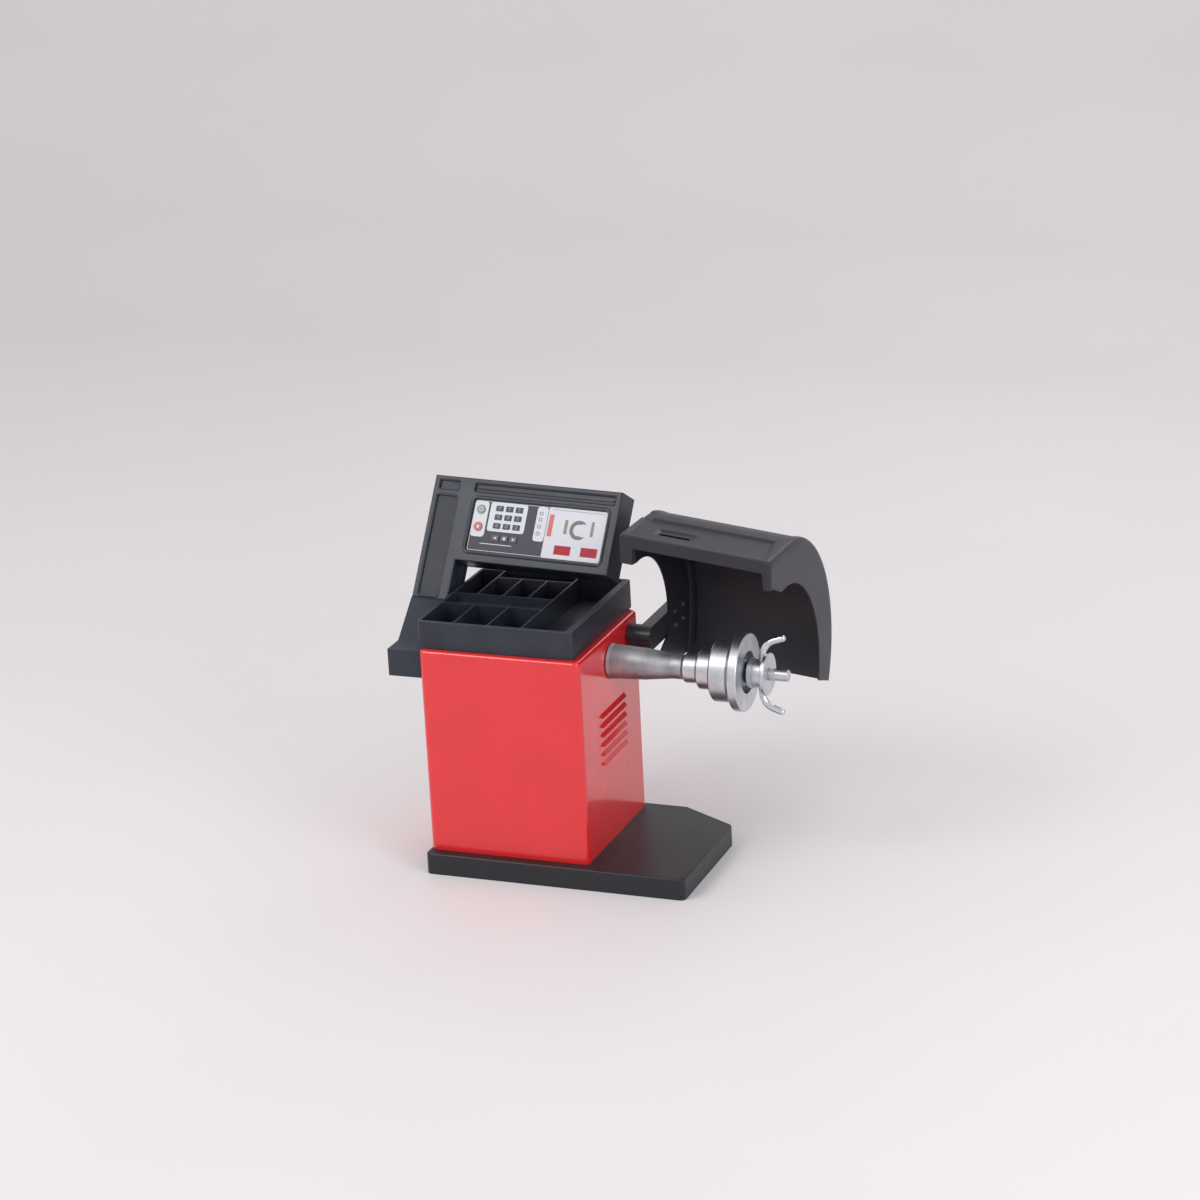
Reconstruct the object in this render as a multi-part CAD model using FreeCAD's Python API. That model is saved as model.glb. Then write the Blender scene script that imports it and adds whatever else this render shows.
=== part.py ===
"""Wheel balancer: cabinet on a foot plate, spindle with quick nut, weight tray, console and wheel guard.

Millimetres. +Z is up, +X runs along the spindle towards its free end, and -Y is the operator's side.
The origin is the centre of the foot plate's underside.
"""
import FreeCAD, Part
import math
import os
from FreeCAD import Vector as V

os.makedirs("parts", exist_ok=True)

# ---------------------------------------------------------------- driving dimensions
# foot plate
BASE_LENGTH = 910.0
BASE_DEPTH = 598.0
BASE_HEIGHT = 73.0
BASE_SHEET = 5.0
BASE_CHAMFER_LENGTH = 200.0
BASE_CHAMFER_DEPTH = 115.0
BASE_CORNER_R = 18.0
RIB_WIDTH = 80.0
RIB_WALL = 5.0
RIB_PITCH = 190.0

# cabinet
CAB_WIDTH = 562.0
CAB_DEPTH = 551.0
CAB_HEIGHT = 700.0
CAB_LEFT_INSET = 4.0
CAB_FRONT_INSET = 40.0
CAB_SHEET = 2.5
CAB_CORNER_R = 22.0
CAB_TOP_R = 12.0
CAB_FLANGE = 30.0
COVER_OVERLAP = 15.0
COVER_MARGIN = 45.0
SCREW_R = 2.5
SCREW_HEAD_R = 5.0
SCREW_CLEARANCE = 0.2
LOUVRE_COUNT = 6
LOUVRE_LENGTH = 218.0
LOUVRE_PITCH = 33.0
LOUVRE_SLOT = 11.0
LOUVRE_REACH = 9.0
LOUVRE_TOP = 533.0
LOUVRE_CENTRE_Y = 22.0

# weight tray
TRAY_WIDTH = 543.0
TRAY_DEPTH = 553.0
TRAY_HEIGHT = 95.0
TRAY_LEFT_OVERHANG = 8.0
TRAY_FRONT_SETBACK = 22.0
TRAY_WALL = 6.0
TRAY_OUTER_WALL = 12.0
TRAY_FLOOR = 6.0
TRAY_RIM = 25.0
TRAY_POCKET = 75.0
TRAY_SHELF = 30.0
TRAY_CORNER_R = 14.0
TRAY_FRONT_ROW = 180.0
TRAY_MID_ROW = 96.0
TRAY_SMALL_ROW = 172.0
TRAY_LONG_BIN = 150.0
TRAY_REAR_BIN = 77.0

# spindle
SHAFT_Y = 29.0
SHAFT_Z = 682.0
SHAFT_R = 20.0
SHAFT_SHOULDER_R = 23.0
SHAFT_REACH = 615.0
SHAFT_TAIL = 291.0
RELIEF_WIDTH = 4.0
RELIEF_DEPTH = 1.5
LEAD_LENGTH = 60.0
TIP_CHAMFER = 4.0
WALL_GAP = 2.0
RUN_GAP = 0.3
FIT_CLEARANCE = 0.08
HOUSING_LENGTH = 255.0
HOUSING_INNER_LENGTH = 221.0
HOUSING_ROOT_R = 60.0
HOUSING_MID_R = 52.0
HOUSING_NOSE_R = 41.0
HOUSING_SEAT_R = 50.0
HOUSING_BORE_R = 30.0
BEARING_OUTER_R = 34.0
BEARING_WIDTH = 15.0
BALL_R = 4.0
BALL_COUNT = 10
BALL_GAP = 0.2
RACE_WALL = 4.0
HUB_START_GAP = 4.0
HUB_RINGS = [(46.0, 50.0), (49.0, 67.0), (60.0, 103.0)]
HUB_GROOVE = 6.0
HUB_GROOVE_DEPTH = 6.0
HUB_NECK = 9.0
HUB_NECK_R = 82.0
DISC_THICKNESS = 32.0
DISC_R = 129.0
RECESS_R = 70.0
RECESS_DEPTH = 40.0
CONE_BIG_R = 48.0
CONE_SMALL_R = 30.0
CONE_LENGTH = 22.0
CONE_PROUD = 7.0
CUP_R = 50.0
CUP_LENGTH = 16.0
CUP_GAP = 2.0
NUT_R = 47.0
NUT_LENGTH = 34.0
NUT_FLANGE_R = 70.0
NUT_FLANGE = 14.0
WING_R = 11.0
WING_BEND_R = 55.0
WING_START_ANGLE = 5.0
WING_END_ANGLE = 72.0
WING_ROOT = 20.0
WING_END = 30.0
WING_ROLL = 7.0

# drive
SPINDLE_PULLEY_R = 80.0
MOTOR_PULLEY_R = 25.0
PULLEY_WIDTH = 26.0
PULLEY_SET_IN = 269.0
BELT_WIDTH = 22.0
BELT_THICKNESS = 4.0
MOTOR_Y = 205.0
MOTOR_Z = 400.0
MOTOR_R = 62.0
MOTOR_LENGTH = 165.0
MOTOR_SHAFT_R = 9.0
ENCODER_R = 45.0

# spindle frame
FRAME_SET_IN = 51.0
FRAME_LENGTH = 165.0
FRAME_WIDTH = 190.0
FRAME_WALL = 6.0
FRAME_FOOT = 10.0
FRAME_TOP_Z = 602.0
FRAME_TOP = 12.0
BOLT_R = 6.0
FLEXURE_HEIGHT = 22.0
FLEXURE_THICKNESS = 3.0
SADDLE_DEPTH = 140.0
SENSOR_R = 12.0
SENSOR_LENGTH = 20.0

# console
HEAD_YAW = 5.0
HEAD_LEAN = 31.5
HEAD_RIGHT_INSET = 27.0
HEAD_FRONT_Y = 95.5
HEAD_ABOVE_TRAY = 84.0
HEAD_WIDTH = 698.0
HEAD_HEIGHT = 285.0
HEAD_FRONT_DEPTH = 75.0
HEAD_DEPTH = 120.0
HEAD_WALL = 4.0
HEAD_EDGE_R = 5.0
HEAD_BACK_INSET = 20.0
COLUMN_WIDTH = 134.0
COLUMN_DROP = 140.0
FASCIA_X = -534.0
FASCIA_Z = 37.0
FASCIA_WIDTH = 496.0
FASCIA_HEIGHT = 178.0
FASCIA_SET_BACK = 4.0
FASCIA_THICKNESS = 3.0
SLEEVE_DEPTH = 12.0
SLEEVE_WALL = 3.0
LEDGE = 3.0
PANEL_WIDTH = 71.0
PANEL_HEIGHT = 344.0
PANEL_X = -676.0
PANEL_Z = -128.0
PANEL_SET_BACK = 5.0
PANEL_THICKNESS = 4.0
FIT_GAP = 0.5
ROUND_KEY_R = 15.0
ARROW_KEY_WIDTH = 24.0
ARROW_KEY_HEIGHT = 18.0
KEY_TRAVEL = 1.5
KEY_PROUD = 4.0
KEY_GAP = 0.4
KEY_RIM = 1.5
GRID_KEY_WIDTH = 26.0
GRID_KEY_HEIGHT = 18.0
GRID_KEY_COLUMNS = [-436.0, -399.5, -363.0]
GRID_KEY_ROWS = [190.0, 160.0, 130.0]
ARROW_KEY_COLUMNS = [-432.0, -398.0, -364.0]
ARROW_KEY_ROW = 88.0
ROUND_KEY_COLUMN = -504.0
START_KEY_ROW = 182.0
STOP_KEY_ROW = 122.0

FOOT_WIDTH = 124.0
FOOT_FRONT_Y = -226.0
FOOT_STEP_Y = -138.0
FOOT_BACK_Y = 60.0
FOOT_BELOW_TOP = 108.0
FOOT_HEIGHT = 92.0
FOOT_WALL = 4.0
POST_WIDTH = 60.0
POST_DEPTH = 40.0
POST_WALL = 3.0

# wheel guard
PIVOT_Y = 208.0
PIVOT_Z = 708.0
PIVOT_R = 22.5
PIVOT_WALL = 5.0
PIVOT_SET_IN = 141.0
BUSH_WALL = 4.0
BUSH_LENGTH = 24.0
ARM_BOSS_R = 41.0
ARM_GAP = 2.5
ARM_WIDTH = 40.0
ARM_WALL = 4.0
ARM_BACK_Y = 520.0
HOOD_GAP = 84.0
HOOD_LENGTH = 510.0
HOOD_DROOP = 61.0
HOOD_WALL = 4.0
HOOD_END_WALL = 5.0
HOOD_R = 405.0
HOOD_ARC_Y = 162.0
HOOD_ARC_Z = 682.0
HOOD_LIP_Y = -66.0
HOOD_LIP_Z = 1094.0
HOOD_LIP_DROP = 40.0
HOOD_LIP_DEPTH = 24.0
OUTER_TAB_WIDTH = 26.0
INNER_TAB_WIDTH = 45.0
HOOD_ARC_END = -29.0
OUTER_MOUTH_R = 335.0
OUTER_MOUTH_Y = 79.0
OUTER_MOUTH_Z = 627.0
INNER_MOUTH_R = 252.0
INNER_MOUTH_Y = 99.0
INNER_MOUTH_Z = 762.0
OUTER_MOUTH_END = -16.8
OUTER_TOE = (400.0, 530.0)
INNER_MOUTH_END = -20.0
INNER_TOE = (175.0, 596.0)
TAB_DROP = 96.0
GRIP_LENGTH = 108.0
GRIP_WIDTH = 28.0
GRIP_SET_IN = 98.0
GRIP_Y = 42.0
HOOD_SWING = 36.0
COLLAR_WALL = 5.0
STOP_LUG = 10.5
STOP_PIN_R = 5.0

# ---------------------------------------------------------------- places worked out from the sizes
BASE_X0 = -BASE_LENGTH / 2
BASE_Y0 = -BASE_DEPTH / 2
CAB_X0 = BASE_X0 + CAB_LEFT_INSET
CAB_X1 = CAB_X0 + CAB_WIDTH
CAB_Y0 = BASE_Y0 + CAB_FRONT_INSET
CAB_Y1 = CAB_Y0 + CAB_DEPTH
CAB_Z0 = BASE_HEIGHT
CAB_Z1 = CAB_Z0 + CAB_HEIGHT
WALL_X = CAB_X1 - CAB_SHEET
TRAY_X0 = CAB_X0 - TRAY_LEFT_OVERHANG
TRAY_Y0 = CAB_Y0 + TRAY_FRONT_SETBACK
TRAY_X1 = TRAY_X0 + TRAY_WIDTH
TRAY_Y1 = TRAY_Y0 + TRAY_DEPTH
TRAY_Z1 = CAB_Z1 + TRAY_HEIGHT
HOUSING_X0 = CAB_X1 + WALL_GAP
HOUSING_X1 = HOUSING_X0 + HOUSING_LENGTH
HOUSING_REAR_X = HOUSING_X0 - WALL_GAP - HOUSING_INNER_LENGTH
HUB_X0 = HOUSING_X1 + HUB_START_GAP
SHAFT_TIP_X = CAB_X1 + SHAFT_REACH
SHAFT_REAR_X = CAB_X1 - SHAFT_TAIL
PULLEY_REAR_X = CAB_X1 - PULLEY_SET_IN
FRAME_X1 = CAB_X1 - FRAME_SET_IN
FRAME_X0 = FRAME_X1 - FRAME_LENGTH
HEAD_CORNER = V(CAB_X1 - HEAD_RIGHT_INSET, HEAD_FRONT_Y, TRAY_Z1 + HEAD_ABOVE_TRAY)
FOOT_BOTTOM_Z = CAB_Z1 - FOOT_BELOW_TOP
FOOT_TOP_Z = FOOT_BOTTOM_Z + FOOT_HEIGHT
PIVOT_INNER_X = CAB_X1 - PIVOT_SET_IN
ARM_INNER_X = CAB_X1 + ARM_GAP
HOOD_X0 = CAB_X1 + HOOD_GAP
HOOD_X1 = HOOD_X0 + HOOD_LENGTH
GRIP_X = HOOD_X0 + GRIP_SET_IN
STOP_R = PIVOT_R + COLLAR_WALL + STOP_LUG
FASCIA_X1 = FASCIA_X + FASCIA_WIDTH
X, Y, Z = V(1, 0, 0), V(0, 1, 0), V(0, 0, 1)


# ---------------------------------------------------------------- shape helpers
def box(x0, x1, y0, y1, z0, z1):
    return Part.makeBox(x1 - x0, y1 - y0, z1 - z0, V(x0, y0, z0))


def rod(r, x0, x1, y, z):
    """A cylinder along X."""
    return Part.makeCylinder(r, x1 - x0, V(x0, y, z), X)


def post(r, x, y, z0, z1):
    """A cylinder along Z."""
    return Part.makeCylinder(r, z1 - z0, V(x, y, z0), Z)


def face(points):
    return Part.Face(Part.makePolygon(points + points[:1]))


def turned(profile, y, z):
    """A solid of revolution about an X line, from (x, radius) points."""
    return face([V(x, y + r, z) for x, r in profile]).revolve(V(0, y, z), X, 360)


def round_rims(shape, y, z, fillet, rims):
    """Fillet the circular rims named by (x, radius) on a turned solid."""
    edges = []
    for edge in shape.Edges:
        curve = edge.Curve
        if not isinstance(curve, Part.Circle) or len(edge.Vertexes) > 1:
            continue
        for x, r in rims:
            if abs(curve.Center.x - x) < 0.01 and abs(curve.Radius - r) < 0.01:
                edges.append(edge)
    return shape.makeFillet(fillet, edges)


def upright_edges(shape):
    return [e for e in shape.Edges if len(e.Vertexes) == 2
            and abs(e.Vertexes[0].X - e.Vertexes[1].X) < 0.01
            and abs(e.Vertexes[0].Y - e.Vertexes[1].Y) < 0.01]


def rounded_box(x0, x1, y0, y1, z0, z1, r):
    shape = box(x0, x1, y0, y1, z0, z1)
    return shape.makeFillet(r, upright_edges(shape))


def top_edges(shape, z):
    return [e for e in shape.Edges if all(abs(v.Z - z) < 0.01 for v in e.Vertexes)]


def joined(shapes):
    whole = shapes[0].multiFuse(shapes[1:]) if len(shapes) > 1 else shapes[0]
    return whole.removeSplitter()


def write(node, *shapes):
    solids = [solid for shape in shapes for solid in shape.Solids]
    shape = solids[0] if len(solids) == 1 else Part.Compound(solids)
    if not shape.isValid():
        raise ValueError(node + " is not a valid shape")
    shape.exportStep("parts/" + node + ".step")


# ---------------------------------------------------------------- foot plate
def base_outline(inset):
    x0, x1 = BASE_X0 + inset, -BASE_X0 - inset
    y0, y1 = BASE_Y0 + inset, -BASE_Y0 - inset
    slant = math.hypot(BASE_CHAMFER_LENGTH, BASE_CHAMFER_DEPTH)
    cut_x = BASE_CHAMFER_LENGTH - inset * (slant - BASE_CHAMFER_LENGTH) / BASE_CHAMFER_DEPTH
    cut_y = BASE_CHAMFER_DEPTH - inset * (slant - BASE_CHAMFER_DEPTH) / BASE_CHAMFER_LENGTH
    return [V(x0, y0, 0), V(x1, y0, 0), V(x1, y1 - cut_y, 0), V(x1 - cut_x, y1, 0), V(x0, y1, 0)]


def base_block(inset, height):
    block = face(base_outline(inset)).extrude(V(0, 0, height))
    return block.makeFillet(BASE_CORNER_R - inset, upright_edges(block))


bolt_places = [(FRAME_X0 - 30.0, SHAFT_Y - 95.0), (FRAME_X0 - 30.0, SHAFT_Y + 95.0),
               (FRAME_X1 + 5.0, SHAFT_Y - 108.0), (FRAME_X1 + 5.0, SHAFT_Y + 108.0)]
pan = base_block(0.0, BASE_HEIGHT)
pan = pan.makeFillet(6.0, top_edges(pan, BASE_HEIGHT))
pan = pan.cut(base_block(BASE_SHEET, BASE_HEIGHT - BASE_SHEET))
for bolt_x, bolt_y in bolt_places:
    pan = pan.cut(post(BOLT_R + SCREW_CLEARANCE, bolt_x, bolt_y, 0, BASE_HEIGHT))
write("base_pan", pan)


def rib(y, x0, x1):
    outer = box(x0, x1, y - RIB_WIDTH / 2, y + RIB_WIDTH / 2, 0, BASE_HEIGHT - BASE_SHEET)
    inner = box(x0, x1, y - RIB_WIDTH / 2 + RIB_WALL, y + RIB_WIDTH / 2 - RIB_WALL,
                RIB_WALL, BASE_HEIGHT - BASE_SHEET - RIB_WALL)
    return outer.cut(inner)


rib_end = -BASE_X0 - 2 * BASE_SHEET
write("base_ribs", rib(-RIB_PITCH, -rib_end, rib_end), rib(0.0, -rib_end, rib_end),
      rib(RIB_PITCH, -rib_end, rib_end - BASE_CHAMFER_LENGTH / 2))

# ---------------------------------------------------------------- cabinet
shell = rounded_box(CAB_X0, CAB_X1, CAB_Y0, CAB_Y1, CAB_Z0, CAB_Z1, CAB_CORNER_R)
shell = shell.makeFillet(CAB_TOP_R, top_edges(shell, CAB_Z1))
hollow = rounded_box(CAB_X0 + CAB_SHEET, WALL_X, CAB_Y0 + CAB_SHEET, CAB_Y1 - CAB_SHEET,
                     CAB_Z0 + CAB_SHEET, CAB_Z1 - CAB_SHEET, CAB_CORNER_R - CAB_SHEET)
hollow = hollow.makeFillet(CAB_TOP_R - CAB_SHEET, top_edges(hollow, CAB_Z1 - CAB_SHEET))
shell = shell.cut(hollow)
shell = shell.cut(box(CAB_X0 + CAB_FLANGE, CAB_X1 - CAB_FLANGE, CAB_Y0 + CAB_FLANGE,
                      CAB_Y1 - CAB_FLANGE, CAB_Z0, CAB_Z0 + CAB_SHEET))
door_x0, door_x1 = CAB_X0 + COVER_MARGIN, CAB_X1 - COVER_MARGIN
door_z0, door_z1 = CAB_Z0 + COVER_MARGIN, CAB_Z1 - COVER_MARGIN
shell = shell.cut(box(door_x0, door_x1, CAB_Y1 - CAB_SHEET, CAB_Y1, door_z0, door_z1))
shell = shell.cut(rod(HOUSING_ROOT_R - 3.0, WALL_X, CAB_X1, SHAFT_Y, SHAFT_Z))
shell = shell.cut(rod(PIVOT_R + 4.0, WALL_X, CAB_X1, PIVOT_Y, PIVOT_Z))
louvre_y0 = LOUVRE_CENTRE_Y - LOUVRE_LENGTH / 2
louvre_y1 = LOUVRE_CENTRE_Y + LOUVRE_LENGTH / 2
blades = []
for i in range(LOUVRE_COUNT):
    z = LOUVRE_TOP - i * LOUVRE_PITCH
    shell = shell.cut(box(WALL_X, CAB_X1, louvre_y0 + CAB_SHEET, louvre_y1 - CAB_SHEET, z - LOUVRE_SLOT, z))
    hood_side = [V(CAB_X1, louvre_y0, z + CAB_SHEET), V(CAB_X1 + LOUVRE_REACH, louvre_y0, z - LOUVRE_SLOT),
                 V(CAB_X1, louvre_y0, z - LOUVRE_SLOT)]
    scoop = [V(CAB_X1, louvre_y0 + CAB_SHEET, z - CAB_SHEET / 2),
             V(CAB_X1 + LOUVRE_REACH - CAB_SHEET, louvre_y0 + CAB_SHEET, z - LOUVRE_SLOT),
             V(CAB_X1, louvre_y0 + CAB_SHEET, z - LOUVRE_SLOT)]
    blades.append(face(hood_side).extrude(V(0, LOUVRE_LENGTH, 0)).cut(
        face(scoop).extrude(V(0, LOUVRE_LENGTH - 2 * CAB_SHEET, 0))))
shell = joined([shell] + blades)

inlet_x, inlet_z = CAB_X0 + 120.0, CAB_Z0 + 130.0
INLET_WIDTH, INLET_HEIGHT, INLET_BODY = 46.0, 62.0, 24.0
cover = box(door_x0 - COVER_OVERLAP, door_x1 + COVER_OVERLAP, CAB_Y1, CAB_Y1 + CAB_SHEET,
            door_z0 - COVER_OVERLAP, door_z1 + COVER_OVERLAP)
cover = cover.cut(box(inlet_x - INLET_WIDTH / 2, inlet_x + INLET_WIDTH / 2, CAB_Y1, CAB_Y1 + CAB_SHEET,
                      inlet_z - INLET_HEIGHT / 2, inlet_z + INLET_HEIGHT / 2))
VENT_COUNT, VENT_LENGTH, VENT_HEIGHT, VENT_PITCH = 8, 150.0, 8.0, 20.0
vent_x = (door_x0 + door_x1) / 2
for i in range(VENT_COUNT):
    z = door_z1 - 60.0 - i * VENT_PITCH
    for side in (-1, 1):
        x = vent_x + side * 100.0
        cover = cover.cut(box(x - VENT_LENGTH / 2, x + VENT_LENGTH / 2, CAB_Y1, CAB_Y1 + CAB_SHEET,
                              z - VENT_HEIGHT, z))
screws = []
edge = COVER_OVERLAP / 2
for x in (door_x0 - edge, (door_x0 + door_x1) / 2, door_x1 + edge):
    for z in (door_z0 - edge, (door_z0 + door_z1) / 2, door_z1 + edge):
        if x == (door_x0 + door_x1) / 2 and z == (door_z0 + door_z1) / 2:
            continue
        hole = Part.makeCylinder(SCREW_R + SCREW_CLEARANCE, 2 * CAB_SHEET, V(x, CAB_Y1 - CAB_SHEET, z), Y)
        cover = cover.cut(hole)
        shell = shell.cut(hole)
        shank = Part.makeCylinder(SCREW_R, 4 * CAB_SHEET, V(x, CAB_Y1 - 3 * CAB_SHEET, z), Y)
        head = Part.makeCone(SCREW_HEAD_R, SCREW_HEAD_R - 1.5, 3.0, V(x, CAB_Y1 + CAB_SHEET, z), Y)
        screws.append(joined([shank, head]))
write("cabinet_shell", shell)
write("rear_cover", cover)
write("rear_cover_screws", *screws)

# ---------------------------------------------------------------- weight tray
left, right = TRAY_X0 + TRAY_OUTER_WALL, TRAY_X1 - TRAY_RIM
front, back = TRAY_Y0 + TRAY_OUTER_WALL, TRAY_Y1 - TRAY_OUTER_WALL
long_x = right - TRAY_LONG_BIN
mid_x = long_x - TRAY_WALL
mid_y = front + TRAY_FRONT_ROW
small_y = mid_y + TRAY_WALL + TRAY_MID_ROW + TRAY_WALL
shelf_y = small_y + TRAY_SMALL_ROW + TRAY_WALL
rear_x = left + TRAY_REAR_BIN + TRAY_WALL


def split(x0, x1, count):
    """Equal bins between two walls, a wall's thickness apart."""
    width = (x1 - x0 - (count - 1) * TRAY_WALL) / count
    return [(x0 + i * (width + TRAY_WALL), x0 + i * (width + TRAY_WALL) + width) for i in range(count)]


bins = [(x0, x1, front, mid_y, TRAY_POCKET) for x0, x1 in split(left, mid_x, 3)]
bins += [(x0, x1, small_y, small_y + TRAY_SMALL_ROW, TRAY_POCKET) for x0, x1 in split(rear_x, mid_x, 3)]
bins.append((left, rear_x - TRAY_WALL, small_y, back, TRAY_POCKET))
bins.append((long_x, right, front, back, TRAY_POCKET))
bins.append((left, mid_x, mid_y + TRAY_WALL, small_y - TRAY_WALL, TRAY_SHELF))
bins.append((rear_x, mid_x, shelf_y, back, TRAY_SHELF))
tray = rounded_box(TRAY_X0, TRAY_X1, TRAY_Y0, TRAY_Y1, CAB_Z1, TRAY_Z1, TRAY_CORNER_R)
tray = tray.makeFillet(3.0, top_edges(tray, TRAY_Z1))
for x0, x1, y0, y1, depth in bins:
    pocket = rounded_box(x0, x1, y0, y1, TRAY_Z1 - depth, TRAY_Z1, 5.0)
    tray = tray.cut(pocket)
    tray = tray.cut(box(x0, x1, y0, y1, CAB_Z1, TRAY_Z1 - depth - TRAY_FLOOR))
tray = tray.cut(box(right + TRAY_WALL, TRAY_X1 - TRAY_WALL, front, back, CAB_Z1, TRAY_Z1 - TRAY_WALL))
write("weight_tray", tray)

# ---------------------------------------------------------------- spindle frame and suspension
frame_y0, frame_y1 = SHAFT_Y - FRAME_WIDTH / 2, SHAFT_Y + FRAME_WIDTH / 2
column_top = FRAME_TOP_Z - FRAME_TOP
column = box(FRAME_X0, FRAME_X1, frame_y0, frame_y1, CAB_Z0 + FRAME_FOOT, column_top).cut(
    box(FRAME_X0 + FRAME_WALL, FRAME_X1 - FRAME_WALL, frame_y0 + FRAME_WALL, frame_y1 - FRAME_WALL,
        CAB_Z0 + FRAME_FOOT, column_top))
foot_plate = box(FRAME_X0 - 48.0, FRAME_X1 + 20.0, SHAFT_Y - 128.0, SHAFT_Y + 128.0, CAB_Z0, CAB_Z0 + FRAME_FOOT)
top_plate = box(FRAME_X0 - 5.0, FRAME_X1 + 5.0, frame_y0 - 5.0, frame_y1 + 12.0, column_top, FRAME_TOP_Z)
saddle_y0, saddle_y1 = SHAFT_Y - SADDLE_DEPTH / 2, SHAFT_Y + SADDLE_DEPTH / 2
sensor_z = FRAME_TOP_Z + 50.0
upright = box(FRAME_X0 + 5.0, FRAME_X1 - 5.0, saddle_y1 + SENSOR_LENGTH, saddle_y1 + SENSOR_LENGTH + 8.0,
              FRAME_TOP_Z, sensor_z + 18.0)
frame = joined([column, foot_plate, top_plate, upright])
bolts = []
for bolt_x, bolt_y in bolt_places:
    frame = frame.cut(post(BOLT_R + SCREW_CLEARANCE, bolt_x, bolt_y, CAB_Z0, CAB_Z0 + FRAME_FOOT))
    shank = post(BOLT_R, bolt_x, bolt_y, CAB_Z0 - 16.0, CAB_Z0 + FRAME_FOOT)
    hexagon = [V(bolt_x + 10.0 * math.cos(math.radians(a)), bolt_y + 10.0 * math.sin(math.radians(a)),
                 CAB_Z0 + FRAME_FOOT) for a in range(0, 360, 60)]
    head = face(hexagon).extrude(V(0, 0, 8.0))
    nut = face(hexagon).extrude(V(0, 0, 8.0))
    nut.translate(V(0, 0, -FRAME_FOOT - BASE_SHEET - 8.0))
    bolts.append(joined([shank, head, nut]))
write("spindle_frame", frame)
write("frame_bolts", *bolts)

saddle_z0 = FRAME_TOP_Z + FLEXURE_HEIGHT
saddle = box(FRAME_X0 + 5.0, FRAME_X1 - 5.0, saddle_y0, saddle_y1, saddle_z0, SHAFT_Z - 8.0)
saddle = saddle.cut(rod(HOUSING_SEAT_R, FRAME_X0, FRAME_X1, SHAFT_Y, SHAFT_Z))
write("housing_saddle", saddle)


def flexure(x):
    return box(x, x + FLEXURE_THICKNESS, saddle_y0 + 10.0, saddle_y1 - 10.0, FRAME_TOP_Z, saddle_z0)


write("flexure_plates", flexure(FRAME_X0 + 15.0), flexure(FRAME_X1 - 15.0))
write("force_sensors", *[Part.makeCylinder(SENSOR_R, SENSOR_LENGTH, V(x, saddle_y1, sensor_z), Y)
                         for x in (FRAME_X0 + 35.0, FRAME_X1 - 35.0)])

# ---------------------------------------------------------------- spindle housing and bearings
front_bearing_x = HOUSING_X1 - 8.0 - BEARING_WIDTH
rear_bearing_x = HOUSING_REAR_X + 15.0
housing = turned([(HOUSING_REAR_X, 0), (HOUSING_REAR_X, HOUSING_SEAT_R), (HOUSING_X0, HOUSING_SEAT_R),
                  (HOUSING_X0, HOUSING_ROOT_R), (HOUSING_X0 + 12.0, HOUSING_ROOT_R - 3.0),
                  (HOUSING_X0 + 125.0, HOUSING_MID_R), (HOUSING_X0 + 218.0, HOUSING_NOSE_R),
                  (HOUSING_X1, HOUSING_NOSE_R), (HOUSING_X1, 0)], SHAFT_Y, SHAFT_Z)
housing = round_rims(housing, SHAFT_Y, SHAFT_Z, 1.5, [(HOUSING_X0, HOUSING_ROOT_R), (HOUSING_X1, HOUSING_NOSE_R)])
housing = housing.cut(rod(HOUSING_BORE_R, HOUSING_REAR_X, HOUSING_X1, SHAFT_Y, SHAFT_Z))
housing = housing.cut(rod(BEARING_OUTER_R, HOUSING_REAR_X, rear_bearing_x + BEARING_WIDTH, SHAFT_Y, SHAFT_Z))
housing = housing.cut(rod(BEARING_OUTER_R, front_bearing_x, HOUSING_X1, SHAFT_Y, SHAFT_Z))
write("spindle_housing", housing)

ball_circle = (SHAFT_R + BEARING_OUTER_R) / 2
groove_r = BALL_R + BALL_GAP
outer_rings, inner_rings, balls = [], [], []
for x in (rear_bearing_x, front_bearing_x):
    mid = x + BEARING_WIDTH / 2
    groove = Part.makeTorus(ball_circle, groove_r, V(mid, SHAFT_Y, SHAFT_Z), X)
    outer = rod(BEARING_OUTER_R, x, x + BEARING_WIDTH, SHAFT_Y, SHAFT_Z).cut(
        rod(BEARING_OUTER_R - RACE_WALL, x, x + BEARING_WIDTH, SHAFT_Y, SHAFT_Z))
    inner = rod(SHAFT_R + RACE_WALL, x, x + BEARING_WIDTH, SHAFT_Y, SHAFT_Z).cut(
        rod(SHAFT_R, x, x + BEARING_WIDTH, SHAFT_Y, SHAFT_Z))
    outer_rings.append(outer.cut(groove))
    inner_rings.append(inner.cut(groove))
    for k in range(BALL_COUNT):
        angle = 2 * math.pi * k / BALL_COUNT
        balls.append(Part.makeSphere(BALL_R, V(mid, SHAFT_Y + ball_circle * math.cos(angle),
                                               SHAFT_Z + ball_circle * math.sin(angle))))
write("bearing_outer_rings", *outer_rings)
write("bearing_inner_rings", *inner_rings)
write("bearing_balls", *balls)
cap_x = front_bearing_x + BEARING_WIDTH
write("bearing_cap", rod(BEARING_OUTER_R, cap_x, HOUSING_X1, SHAFT_Y, SHAFT_Z).cut(
    rod(SHAFT_R + FIT_GAP, cap_x, HOUSING_X1, SHAFT_Y, SHAFT_Z)))

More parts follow.
